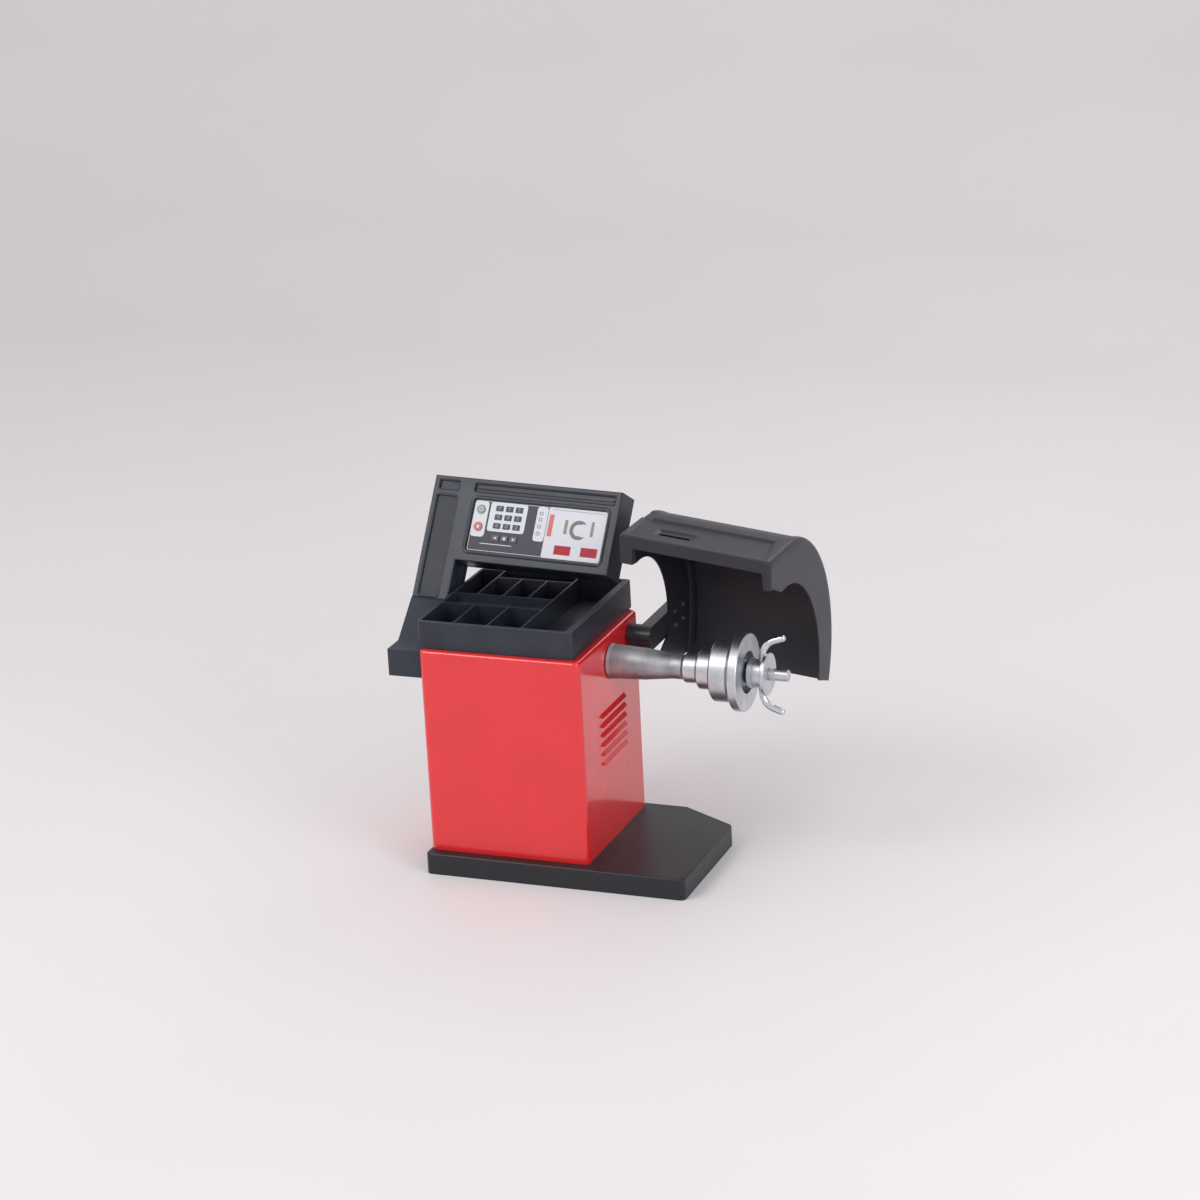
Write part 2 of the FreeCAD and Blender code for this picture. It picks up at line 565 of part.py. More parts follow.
# ---------------------------------------------------------------- spindle shaft, pulley and encoder
# the thread ends in a relief groove, and the plain lead end beyond it guides the nut on
shoulder_x0 = rear_bearing_x + BEARING_WIDTH
lead_x = SHAFT_TIP_X - TIP_CHAMFER - LEAD_LENGTH
shaft = turned([(SHAFT_REAR_X, 0), (SHAFT_REAR_X, SHAFT_R), (shoulder_x0, SHAFT_R),
                (shoulder_x0, SHAFT_SHOULDER_R), (front_bearing_x, SHAFT_SHOULDER_R),
                (front_bearing_x, SHAFT_R), (lead_x - RELIEF_WIDTH, SHAFT_R),
                (lead_x - RELIEF_WIDTH, SHAFT_R - RELIEF_DEPTH), (lead_x, SHAFT_R - RELIEF_DEPTH),
                (lead_x, SHAFT_R), (SHAFT_TIP_X - TIP_CHAMFER, SHAFT_R),
                (SHAFT_TIP_X, SHAFT_R - TIP_CHAMFER), (SHAFT_TIP_X, 0)], SHAFT_Y, SHAFT_Z)
write("spindle_shaft", shaft)
pulley_x1 = PULLEY_REAR_X + PULLEY_WIDTH
pulley = turned([(PULLEY_REAR_X, SHAFT_R), (PULLEY_REAR_X, 32.0), (PULLEY_REAR_X + 8.0, 34.0),
                 (PULLEY_REAR_X + 8.0, SPINDLE_PULLEY_R - 10.0), (PULLEY_REAR_X, SPINDLE_PULLEY_R - 8.0),
                 (PULLEY_REAR_X, SPINDLE_PULLEY_R), (pulley_x1, SPINDLE_PULLEY_R),
                 (pulley_x1, SPINDLE_PULLEY_R - 8.0), (pulley_x1 - 8.0, SPINDLE_PULLEY_R - 10.0),
                 (pulley_x1 - 8.0, 34.0), (pulley_x1, 32.0), (pulley_x1, SHAFT_R)], SHAFT_Y, SHAFT_Z)
write("spindle_pulley", pulley)
encoder_x = SHAFT_REAR_X + 8.0
write("encoder_disc", rod(ENCODER_R, encoder_x, encoder_x + 2.0, SHAFT_Y, SHAFT_Z).cut(
    rod(SHAFT_R, encoder_x, encoder_x + 2.0, SHAFT_Y, SHAFT_Z)))
sensor = box(encoder_x - 9.0, encoder_x + 7.0, SHAFT_Y - 10.0, SHAFT_Y + 10.0,
             SHAFT_Z - ENCODER_R - 14.0, SHAFT_Z - ENCODER_R + 8.0)
sensor = sensor.cut(box(encoder_x - 2.0, encoder_x + 4.0, SHAFT_Y - 10.0, SHAFT_Y + 10.0,
                        SHAFT_Z - ENCODER_R - 2.0, SHAFT_Z - ENCODER_R + 8.0))
arm_z = column_top - 20.0
stalk = box(encoder_x - 9.0, encoder_x - 4.0, SHAFT_Y - 50.0, SHAFT_Y + 10.0, arm_z, SHAFT_Z - ENCODER_R - 10.0)
arm = box(encoder_x - 9.0, FRAME_X0, SHAFT_Y - 50.0, SHAFT_Y - 30.0, arm_z - 5.0, arm_z)
write("encoder_sensor", joined([sensor, stalk, arm]))

# ---------------------------------------------------------------- hub, spring and cone
profile = [(HUB_X0, SHAFT_R)]
rims = []
x = HUB_X0
for length, radius in HUB_RINGS:
    profile += [(x, radius - HUB_GROOVE_DEPTH), (x + HUB_GROOVE, radius), (x + length, radius),
                (x + length, radius - HUB_GROOVE_DEPTH), (x + length + HUB_GROOVE, radius - HUB_GROOVE_DEPTH)]
    x += length + HUB_GROOVE
neck_x = x
disc_x0 = neck_x + HUB_NECK
disc_x1 = disc_x0 + DISC_THICKNESS
profile[-1] = (neck_x, HUB_NECK_R)
profile[-2] = (neck_x - HUB_GROOVE, HUB_NECK_R)
profile += [(disc_x0, HUB_NECK_R), (disc_x0, DISC_R - 3.0), (disc_x0 + 3.0, DISC_R), (disc_x1 - 3.0, DISC_R),
            (disc_x1, DISC_R - 3.0), (disc_x1, RECESS_R), (disc_x1 - RECESS_DEPTH, RECESS_R),
            (disc_x1 - RECESS_DEPTH, SHAFT_R)]
write("hub_flange", turned(profile, SHAFT_Y, SHAFT_Z))
cone_x1 = disc_x1 + CONE_PROUD
cone_x0 = cone_x1 - CONE_LENGTH
write("centring_cone", turned([(cone_x0, SHAFT_R + FIT_CLEARANCE), (cone_x0, CONE_BIG_R), (cone_x0 + 6.0, CONE_BIG_R),
                               (cone_x1, CONE_SMALL_R), (cone_x1, SHAFT_R + FIT_CLEARANCE)], SHAFT_Y, SHAFT_Z))
SPRING_R, SPRING_WIRE_R, SPRING_TURNS = 38.0, 2.5, 2.5
spring_x0 = disc_x1 - RECESS_DEPTH + SPRING_WIRE_R + RUN_GAP
spring_length = cone_x0 - SPRING_WIRE_R - RUN_GAP - spring_x0
helix = Part.makeHelix(spring_length / SPRING_TURNS, spring_length, SPRING_R)
section = Part.Wire(Part.makeCircle(SPRING_WIRE_R, V(SPRING_R, 0, 0), V(0, 1, 0)))
spring = Part.Wire(helix.Edges).makePipeShell([section], True, True)
spring.rotate(V(0, 0, 0), Y, 90)
spring.translate(V(spring_x0, SHAFT_Y, SHAFT_Z))
write("cone_spring", spring)

# ---------------------------------------------------------------- quick nut
cup_x0 = cone_x1 + CUP_GAP
cup_x1 = cup_x0 + CUP_LENGTH
bore = SHAFT_R + FIT_CLEARANCE
write("pressure_cup", turned([(cup_x0, CONE_BIG_R - 12.0), (cup_x0, CUP_R), (cup_x1, CUP_R), (cup_x1, bore),
                              (cup_x0 + 6.0, bore), (cup_x0 + 6.0, CONE_BIG_R - 12.0)], SHAFT_Y, SHAFT_Z))
nut_x0 = cup_x1 + RUN_GAP
nut_x1 = nut_x0 + NUT_LENGTH
nut_x2 = nut_x1 + NUT_FLANGE
nut = turned([(nut_x0, bore), (nut_x0, NUT_R), (nut_x1, NUT_R), (nut_x1, NUT_FLANGE_R - 2.0),
              (nut_x1 + 2.0, NUT_FLANGE_R), (nut_x2 - 2.0, NUT_FLANGE_R), (nut_x2, NUT_FLANGE_R - 2.0),
              (nut_x2, bore)], SHAFT_Y, SHAFT_Z)


def wing():
    """A round bar that leaves the nut behind its flange and bends outwards along the shaft."""
    a0, a1 = math.radians(WING_START_ANGLE), math.radians(WING_END_ANGLE)
    up = V(0, math.sin(math.radians(WING_ROLL)), math.cos(math.radians(WING_ROLL)))

    def at(x, r):
        return V(x, SHAFT_Y, SHAFT_Z) + up * r

    x0, r0 = nut_x1 - WING_R, NUT_R - 2.0
    x1, r1 = x0 + WING_ROOT * math.sin(a0), r0 + WING_ROOT * math.cos(a0)
    am = (a0 + a1) / 2
    xm = x1 + WING_BEND_R * (math.cos(a0) - math.cos(am))
    rm = r1 + WING_BEND_R * (math.sin(am) - math.sin(a0))
    x2 = x1 + WING_BEND_R * (math.cos(a0) - math.cos(a1))
    r2 = r1 + WING_BEND_R * (math.sin(a1) - math.sin(a0))
    x3, r3 = x2 + WING_END * math.sin(a1), r2 + WING_END * math.cos(a1)
    spine = Part.Wire([Part.makeLine(at(x0, r0), at(x1, r1)),
                       Part.Arc(at(x1, r1), at(xm, rm), at(x2, r2)).toShape(),
                       Part.makeLine(at(x2, r2), at(x3, r3))])
    start = Part.Wire(Part.makeCircle(WING_R, at(x0, r0), X * math.sin(a0) + up * math.cos(a0)))
    bar = spine.makePipeShell([start], True, True)
    return bar.fuse(Part.makeSphere(WING_R, at(x3, r3)))


opposite = wing()
opposite.rotate(V(0, SHAFT_Y, SHAFT_Z), X, 180)
wings = [wing(), opposite]
for bar in wings:
    nut = nut.cut(bar)
write("quick_nut", nut)
write("wing_handles", *wings)

# ---------------------------------------------------------------- motor and belt
motor_x1 = pulley_x1 + 18.0 + MOTOR_LENGTH
motor_x0 = motor_x1 - MOTOR_LENGTH
motor = turned([(motor_x0, 0), (motor_x0, MOTOR_R - 22.0), (motor_x0 + 8.0, MOTOR_R - 8.0),
                (motor_x0 + 22.0, MOTOR_R - 8.0), (motor_x0 + 22.0, MOTOR_R), (motor_x1 - 22.0, MOTOR_R),
                (motor_x1 - 22.0, MOTOR_R - 8.0), (motor_x1 - 8.0, MOTOR_R - 8.0),
                (motor_x1, MOTOR_R - 22.0), (motor_x1, 0)], MOTOR_Y, MOTOR_Z)
motor = motor.cut(rod(MOTOR_SHAFT_R + FIT_CLEARANCE, motor_x0, motor_x1 - 20.0, MOTOR_Y, MOTOR_Z))
write("motor_body", motor)
write("motor_shaft", rod(MOTOR_SHAFT_R, PULLEY_REAR_X - 4.0, motor_x1 - 22.0, MOTOR_Y, MOTOR_Z))
write("motor_pulley", rod(MOTOR_PULLEY_R, PULLEY_REAR_X, pulley_x1, MOTOR_Y, MOTOR_Z).cut(
    rod(MOTOR_SHAFT_R, PULLEY_REAR_X, pulley_x1, MOTOR_Y, MOTOR_Z)))
cradle_x0, cradle_x1 = motor_x0 + 40.0, motor_x1 - 40.0
cradle = box(cradle_x0, cradle_x1, frame_y1, MOTOR_Y - 35.0, MOTOR_Z - 55.0, MOTOR_Z + 55.0)
write("motor_bracket", cradle.cut(rod(MOTOR_R, cradle_x0, cradle_x1, MOTOR_Y, MOTOR_Z)))


def loop(x0, x1, big_r, small_r):
    """A solid bounded by a belt line round the two pulleys."""
    dy, dz = MOTOR_Y - SHAFT_Y, MOTOR_Z - SHAFT_Z
    distance = math.hypot(dy, dz)
    axis = math.atan2(dz, dy)
    spread = math.acos((big_r - small_r) / distance)

    def at(cy, cz, r, angle):
        return V(x0, cy + r * math.cos(angle), cz + r * math.sin(angle))

    a, b = axis + spread, axis - spread
    big = [at(SHAFT_Y, SHAFT_Z, big_r, t) for t in (a, axis + math.pi, b)]
    small = [at(MOTOR_Y, MOTOR_Z, small_r, t) for t in (b, axis, a)]
    wire = Part.Wire([Part.Arc(*big).toShape(), Part.makeLine(big[2], small[0]),
                      Part.Arc(*small).toShape(), Part.makeLine(small[2], big[0])])
    return Part.Face(wire).extrude(V(x1 - x0, 0, 0))


belt_x0 = PULLEY_REAR_X + (PULLEY_WIDTH - BELT_WIDTH) / 2
belt_x1 = belt_x0 + BELT_WIDTH
inner_loop = loop(belt_x0, belt_x1, SPINDLE_PULLEY_R + RUN_GAP, MOTOR_PULLEY_R + RUN_GAP)
outer_loop = loop(belt_x0, belt_x1, SPINDLE_PULLEY_R + RUN_GAP + BELT_THICKNESS,
                  MOTOR_PULLEY_R + RUN_GAP + BELT_THICKNESS)
write("drive_belt", outer_loop.cut(inner_loop))

# ---------------------------------------------------------------- electrics
BOARD_WIDTH, BOARD_HEIGHT, BOARD_THICKNESS, STANDOFF = 220.0, 180.0, 1.6, 8.0
board_x = CAB_X0 + CAB_SHEET + STANDOFF
board_y, board_z = CAB_Y0 + 140.0, CAB_Z0 + 240.0
pieces = [box(board_x, board_x + BOARD_THICKNESS, board_y, board_y + BOARD_WIDTH, board_z, board_z + BOARD_HEIGHT)]
for y in (board_y + 10.0, board_y + BOARD_WIDTH - 10.0):
    for z in (board_z + 10.0, board_z + BOARD_HEIGHT - 10.0):
        pieces.append(rod(4.0, board_x - STANDOFF, board_x, y, z))
board_face = board_x + BOARD_THICKNESS
for y, z, width, height, depth in ((20, 30, 60, 50, 40), (100, 25, 45, 35, 22), (160, 30, 40, 90, 30),
                                   (25, 105, 50, 50, 18), (95, 90, 45, 60, 12)):
    pieces.append(box(board_face, board_face + depth, board_y + y, board_y + y + width,
                      board_z + z, board_z + z + height))
write("power_board", joined(pieces))
core_x, core_y = CAB_X0 + 90.0, CAB_Y0 + 150.0
core = box(core_x, core_x + 95.0, core_y, core_y + 80.0, CAB_Z0 + 4.0, CAB_Z0 + 84.0)
winding = box(core_x + 20.0, core_x + 75.0, core_y - 14.0, core_y + 94.0, CAB_Z0 + 20.0, CAB_Z0 + 68.0)
strap = box(core_x - 15.0, core_x + 110.0, core_y + 10.0, core_y + 70.0, CAB_Z0, CAB_Z0 + 4.0)
write("transformer", joined([core, winding, strap]))

inlet = box(inlet_x - INLET_WIDTH / 2, inlet_x + INLET_WIDTH / 2, CAB_Y1 + CAB_SHEET - INLET_BODY,
            CAB_Y1 + CAB_SHEET, inlet_z - INLET_HEIGHT / 2, inlet_z + INLET_HEIGHT / 2)
inlet = joined([inlet, box(inlet_x - 30.0, inlet_x + 30.0, CAB_Y1 + CAB_SHEET, CAB_Y1 + CAB_SHEET + 3.0,
                           inlet_z - 38.0, inlet_z + 38.0)])
inlet_y1 = CAB_Y1 + CAB_SHEET + 3.0
socket = box(inlet_x - 12.0, inlet_x + 12.0, inlet_y1 - 18.0, inlet_y1, inlet_z - 27.0, inlet_z - 11.0)
inlet = inlet.cut(socket)
for dx, dz in ((-7.0, -3.0), (7.0, -3.0), (0.0, 3.0)):
    pin = box(inlet_x + dx - 1.0, inlet_x + dx + 1.0, inlet_y1 - 18.0, inlet_y1 - 4.0,
              inlet_z - 19.0 + dz - 2.0, inlet_z - 19.0 + dz + 2.0)
    inlet = joined([inlet, pin])
ROCKER_R, ROCKER_WIDTH, ROCKER_SWING = 11.0, 22.0, 14.0
rocker_y, rocker_z = inlet_y1 - 5.0, inlet_z + 14.0
well = box(inlet_x - ROCKER_WIDTH / 2 - FIT_GAP, inlet_x + ROCKER_WIDTH / 2 + FIT_GAP, inlet_y1 - 18.0, inlet_y1,
           rocker_z - ROCKER_R - FIT_GAP, rocker_z + ROCKER_R + FIT_GAP)
inlet = inlet.cut(well)
write("power_inlet", inlet)
rocker = rod(ROCKER_R, inlet_x - ROCKER_WIDTH / 2, inlet_x + ROCKER_WIDTH / 2, rocker_y, rocker_z)
for sign in (-1, 1):
    trim = box(inlet_x - ROCKER_WIDTH, inlet_x + ROCKER_WIDTH, rocker_y + 6.0, rocker_y + 30.0,
               rocker_z - 30.0, rocker_z + 30.0)
    trim.rotate(V(0, rocker_y, rocker_z), X, sign * ROCKER_SWING)
    rocker = rocker.cut(trim)
rocker.rotate(V(0, rocker_y, rocker_z), X, -ROCKER_SWING / 2)
write("power_rocker", rocker)

# ---------------------------------------------------------------- console head
# The head is drawn flat: x runs from its right end (0) to the left, z up its face, y into its depth.
head_place = FreeCAD.Placement(HEAD_CORNER, FreeCAD.Rotation(Z, -HEAD_YAW).multiply(FreeCAD.Rotation(X, -HEAD_LEAN)))


def placed(shape):
    shape = shape.copy()
    shape.Placement = head_place.multiply(shape.Placement)
    return shape


def head_outline(inset, y):
    """The head's L-shaped outline, drawn in by an inset."""
    inner_x, left_x = -HEAD_WIDTH + COLUMN_WIDTH - inset, -HEAD_WIDTH + inset
    low, high = -COLUMN_DROP + inset, HEAD_HEIGHT - inset
    return [V(left_x, y, low), V(inner_x, y, low), V(inner_x, y, inset), V(-inset, y, inset),
            V(-inset, y, high), V(left_x, y, high)]


def head_block(inset, y0, y1):
    return face(head_outline(inset, y0)).extrude(V(0, y1 - y0, 0))


def sleeve(x, z, width, height, seat):
    """A short wall round an opening in the front shell, and the opening with a ledge at its seat depth."""
    outer = box(x - SLEEVE_WALL, x + width + SLEEVE_WALL, 0, SLEEVE_DEPTH, z - SLEEVE_WALL, z + height + SLEEVE_WALL)
    opening = box(x, x + width, 0, seat, z, z + height)
    behind = box(x + LEDGE, x + width - LEDGE, seat, SLEEVE_DEPTH, z + LEDGE, z + height - LEDGE)
    return outer, opening.fuse(behind)


head_front = head_block(0.0, 0.0, HEAD_FRONT_DEPTH)
front_rim = [e for e in head_front.Edges if all(abs(v.Y) < 0.01 for v in e.Vertexes)]
head_front = head_front.makeFillet(HEAD_EDGE_R, front_rim)
head_front = head_front.cut(head_block(HEAD_WALL, HEAD_WALL, HEAD_FRONT_DEPTH))
fascia_sleeve, fascia_hole = sleeve(FASCIA_X - FIT_GAP, FASCIA_Z - FIT_GAP, FASCIA_WIDTH + 2 * FIT_GAP,
                                    FASCIA_HEIGHT + 2 * FIT_GAP, FASCIA_SET_BACK + FASCIA_THICKNESS)
panel_sleeve, panel_hole = sleeve(PANEL_X - FIT_GAP, PANEL_Z - FIT_GAP, PANEL_WIDTH + 2 * FIT_GAP,
                                  PANEL_HEIGHT + 2 * FIT_GAP, PANEL_SET_BACK + PANEL_THICKNESS)
SLOT_X, SLOT_Z, SLOT_WIDTH, SLOT_HEIGHT, SLOT_DEPTH = -541.0, 241.0, 520.0, 26.0, 8.0
RECESS_X, RECESS_Z, RECESS_WIDTH, RECESS_HEIGHT = -676.0, 240.0, 72.0, 29.0
slot_sleeve = sleeve(SLOT_X, SLOT_Z, SLOT_WIDTH, SLOT_HEIGHT, SLOT_DEPTH)[0]
recess_sleeve = sleeve(RECESS_X, RECESS_Z, RECESS_WIDTH, RECESS_HEIGHT, SLOT_DEPTH)[0]
head_front = joined([head_front, fascia_sleeve, panel_sleeve, slot_sleeve, recess_sleeve])
head_front = head_front.cut(fascia_hole).cut(panel_hole)
for hole_x, hole_z, width, height in ((SLOT_X, SLOT_Z, SLOT_WIDTH, SLOT_HEIGHT),
                                      (RECESS_X, RECESS_Z, RECESS_WIDTH, RECESS_HEIGHT)):
    head_front = head_front.cut(box(hole_x, hole_x + width, 0, SLOT_DEPTH, hole_z, hole_z + height))
strip = box(SLOT_X + 6.0, SLOT_X + SLOT_WIDTH - 6.0, 3.0, SLOT_DEPTH, SLOT_Z + 9.0, SLOT_Z + 15.0)
head_front = joined([head_front, strip])
post_x = -HEAD_WIDTH + COLUMN_WIDTH / 2
post_hole = box(post_x - POST_WIDTH / 2 - FIT_GAP, post_x + POST_WIDTH / 2 + FIT_GAP, 34.0 - FIT_GAP,
                34.0 + POST_DEPTH + FIT_GAP, -COLUMN_DROP, -COLUMN_DROP + HEAD_WALL)
head_front = head_front.cut(post_hole)
head_back = head_block(0.0, HEAD_FRONT_DEPTH, HEAD_DEPTH - HEAD_BACK_INSET)
taper = Part.makeLoft([Part.makePolygon(w + w[:1]) for w in (head_outline(0.0, HEAD_DEPTH - HEAD_BACK_INSET),
                                                            head_outline(HEAD_BACK_INSET, HEAD_DEPTH))], True, True)
inner_taper = Part.makeLoft([Part.makePolygon(w + w[:1])
                             for w in (head_outline(HEAD_WALL, HEAD_DEPTH - HEAD_BACK_INSET),
                                       head_outline(HEAD_BACK_INSET + HEAD_WALL - 2.0, HEAD_DEPTH - HEAD_WALL))],
                            True, True)
head_back = joined([head_back, taper]).cut(
    joined([head_block(HEAD_WALL, HEAD_FRONT_DEPTH, HEAD_DEPTH - HEAD_BACK_INSET), inner_taper]))
head_back = head_back.cut(post_hole)

# bosses and screws that hold the two halves together
head_screws = []
BOSS_INSET = 10.0
low_z, high_z = BOSS_INSET, HEAD_HEIGHT - BOSS_INSET
far_x = -HEAD_WIDTH + BOSS_INSET
for x, z in ((-BOSS_INSET, low_z), (-HEAD_WIDTH * 0.4, low_z), (-HEAD_WIDTH + COLUMN_WIDTH + 2 * BOSS_INSET, low_z),
             (-BOSS_INSET, high_z), (-HEAD_WIDTH * 0.4, high_z), (-HEAD_WIDTH * 0.8, high_z),
             (far_x, HEAD_HEIGHT * 0.8), (far_x, -COLUMN_DROP * 0.7)):
    boss = Part.makeCylinder(7.0, HEAD_FRONT_DEPTH - HEAD_WALL, V(x, HEAD_WALL, z), Y)
    hole = Part.makeCylinder(SCREW_R + SCREW_CLEARANCE, HEAD_DEPTH - 30.0, V(x, 30.0, z), Y)
    seat = Part.makeCylinder(SCREW_HEAD_R + SCREW_CLEARANCE, HEAD_DEPTH, V(x, HEAD_FRONT_DEPTH + 6.0, z), Y)
    tower = Part.makeCylinder(SCREW_HEAD_R + 3.0, HEAD_DEPTH - HEAD_BACK_INSET - HEAD_FRONT_DEPTH,
                              V(x, HEAD_FRONT_DEPTH, z), Y)
    whole_block = head_block(0.0, 0.0, HEAD_DEPTH)
    head_front = head_front.fuse(boss.common(whole_block)).cut(hole)
    head_back = head_back.fuse(tower.common(whole_block)).cut(seat).cut(hole)
    shank = Part.makeCylinder(SCREW_R, 40.0, V(x, HEAD_FRONT_DEPTH - 34.0, z), Y)
    head = Part.makeCylinder(SCREW_HEAD_R, 3.0, V(x, HEAD_FRONT_DEPTH + 6.0, z), Y)
    head_screws.append(placed(joined([shank, head])))
write("console_front_shell", placed(head_front.removeSplitter()))
write("console_rear_shell", placed(head_back.removeSplitter()))
write("console_screws", *head_screws)

column_panel = box(PANEL_X, PANEL_X + PANEL_WIDTH, PANEL_SET_BACK, PANEL_SET_BACK + PANEL_THICKNESS,
                   PANEL_Z, PANEL_Z + PANEL_HEIGHT)
write("column_panel", placed(column_panel))

# fascia with its keys, lenses and diagram
fascia_y0 = FASCIA_SET_BACK
fascia_y1 = fascia_y0 + FASCIA_THICKNESS
fascia = box(FASCIA_X, FASCIA_X + FASCIA_WIDTH, fascia_y0, fascia_y1, FASCIA_Z, FASCIA_Z + FASCIA_HEIGHT)


def block_at(x, z, width, height, y0, y1):
    return box(x - width / 2, x + width / 2, y0, y1, z - height / 2, z + height / 2)


def disc_at(x, z, r, y0, y1):
    return Part.makeCylinder(r, y1 - y0, V(x, y0, z), Y)


key_y0 = fascia_y0 - KEY_PROUD
rim_y0, rim_y1 = fascia_y1 + KEY_GAP, fascia_y1 + 2.0
round_keys = {"start_key": START_KEY_ROW, "stop_key": STOP_KEY_ROW}
for name, z in round_keys.items():
    fascia = fascia.cut(disc_at(ROUND_KEY_COLUMN, z, ROUND_KEY_R + KEY_GAP, fascia_y0, fascia_y1))
    key = disc_at(ROUND_KEY_COLUMN, z, ROUND_KEY_R, key_y0, rim_y0)
    write(name, placed(joined([key, disc_at(ROUND_KEY_COLUMN, z, ROUND_KEY_R + KEY_RIM, rim_y0, rim_y1)])))
for name, x in zip(("arrow_key_left", "arrow_key_middle", "arrow_key_right"), ARROW_KEY_COLUMNS):
    fascia = fascia.cut(block_at(x, ARROW_KEY_ROW, ARROW_KEY_WIDTH + 2 * KEY_GAP, ARROW_KEY_HEIGHT + 2 * KEY_GAP,
                                 fascia_y0, fascia_y1))
    key = block_at(x, ARROW_KEY_ROW, ARROW_KEY_WIDTH, ARROW_KEY_HEIGHT, key_y0, rim_y0)
    rim = block_at(x, ARROW_KEY_ROW, ARROW_KEY_WIDTH + 2 * KEY_RIM, ARROW_KEY_HEIGHT + 2 * KEY_RIM, rim_y0, rim_y1)
    write(name, placed(joined([key, rim])))
mat_y0, mat_y1 = fascia_y1 + FIT_GAP, fascia_y1 + FIT_GAP + 1.5
mat = [block_at(GRID_KEY_COLUMNS[1], GRID_KEY_ROWS[1], 116.0, 88.0, mat_y0, mat_y1)]
for x in GRID_KEY_COLUMNS:
    for z in GRID_KEY_ROWS:
        fascia = fascia.cut(block_at(x, z, GRID_KEY_WIDTH + 2 * KEY_GAP, GRID_KEY_HEIGHT + 2 * KEY_GAP,
                                     fascia_y0, fascia_y1))
        mat.append(block_at(x, z, GRID_KEY_WIDTH, GRID_KEY_HEIGHT, fascia_y0 - 2.0, mat_y0))
write("keypad_mat", placed(joined(mat)))

WINDOWS = [(FASCIA_X1 - 142.0, 69.5, 60.0, 31.0), (FASCIA_X1 - 44.5, 70.5, 60.0, 31.0)]
BARS = [(FASCIA_X1 - 201.0, 150.5, 16.0, 75.0), (FASCIA_X1 - 144.5, 150.0, 11.0, 48.0),
        (FASCIA_X1 - 47.0, 150.0, 10.0, 50.0)]


def lenses(places):
    return [block_at(x, z, width, height, fascia_y0 - 1.0, fascia_y1) for x, z, width, height in places]


for lens in lenses(WINDOWS + BARS):
    fascia = fascia.cut(lens)
write("led_windows", *[placed(lens) for lens in lenses(WINDOWS)])
write("level_bars", *[placed(lens) for lens in lenses(BARS)])
rim_x, rim_z, rim_r = FASCIA_X1 - 96.0, 143.0, 33.0
rim = disc_at(rim_x, rim_z, rim_r, fascia_y0 - 1.0, fascia_y1).cut(
    disc_at(rim_x, rim_z, rim_r - 13.0, fascia_y0 - 1.0, fascia_y1)).cut(
    box(rim_x + 8.0, rim_x + 40.0, fascia_y0 - 1.0, fascia_y1, rim_z - 22.0, rim_z + 22.0))
fascia = fascia.cut(rim)
write("rim_diagram", placed(rim))
write("panel_fascia", placed(fascia))
board_y0 = SLEEVE_DEPTH + 6.0
BOARD_OVERHANG, SWITCH_SIZE = 12.0, 8.0
board_middle = (FASCIA_X + FASCIA_WIDTH / 2, FASCIA_Z + FASCIA_HEIGHT / 2)
display_parts = [block_at(board_middle[0], board_middle[1], FASCIA_WIDTH + 2 * BOARD_OVERHANG, FASCIA_HEIGHT - 16.0,
                          board_y0, board_y0 + BOARD_THICKNESS)]
display_parts += [block_at(x, z, width, height, SLEEVE_DEPTH - 2.0, board_y0)
                  for x, z, width, height in WINDOWS + BARS]
switches = [(ROUND_KEY_COLUMN, z) for z in round_keys.values()] + [(x, ARROW_KEY_ROW) for x in ARROW_KEY_COLUMNS]
display_parts += [block_at(x, z, SWITCH_SIZE, SWITCH_SIZE, rim_y1 + KEY_TRAVEL + FIT_GAP, board_y0)
                  for x, z in switches]
display_parts += [disc_at(x, z, 3.0, HEAD_WALL, board_y0)
                  for x in (FASCIA_X - BOARD_OVERHANG + 4.0, FASCIA_X + FASCIA_WIDTH + BOARD_OVERHANG - 4.0)
                  for z in (FASCIA_Z + 20.0, FASCIA_Z + FASCIA_HEIGHT - 20.0)]
write("display_board", placed(joined(display_parts)))

# ---------------------------------------------------------------- console foot and post
foot_x0, foot_x1 = CAB_X0 - FOOT_WIDTH, CAB_X0


def foot_box(inset, floor):
    return box(foot_x0 + inset, foot_x1 - inset, FOOT_FRONT_Y + inset, FOOT_BACK_Y - inset,
               FOOT_BOTTOM_Z + floor, FOOT_TOP_Z - inset)


def flare(inset):
    """The stretch from the square foot to the turned and leaning head."""
    flare_x1 = TRAY_X0 - WALL_GAP - inset
    low = [V(foot_x0 + inset, FOOT_STEP_Y + inset, FOOT_TOP_Z - 2 * inset),
           V(flare_x1, FOOT_STEP_Y + inset, FOOT_TOP_Z - 2 * inset),
           V(flare_x1, FOOT_BACK_Y - inset, FOOT_TOP_Z - 2 * inset),
           V(foot_x0 + inset, FOOT_BACK_Y - inset, FOOT_TOP_Z - 2 * inset)]
    x0, x1 = -HEAD_WIDTH + inset, -HEAD_WIDTH + COLUMN_WIDTH - inset
    high = [head_place.multVec(V(x, y, -COLUMN_DROP)) for x, y in
            ((x0, inset), (x1, inset), (x1, HEAD_DEPTH - HEAD_BACK_INSET - inset),
             (x0, HEAD_DEPTH - HEAD_BACK_INSET - inset))]
    return Part.makeLoft([Part.makePolygon(low + low[:1]), Part.makePolygon(high + high[:1])], True, True)


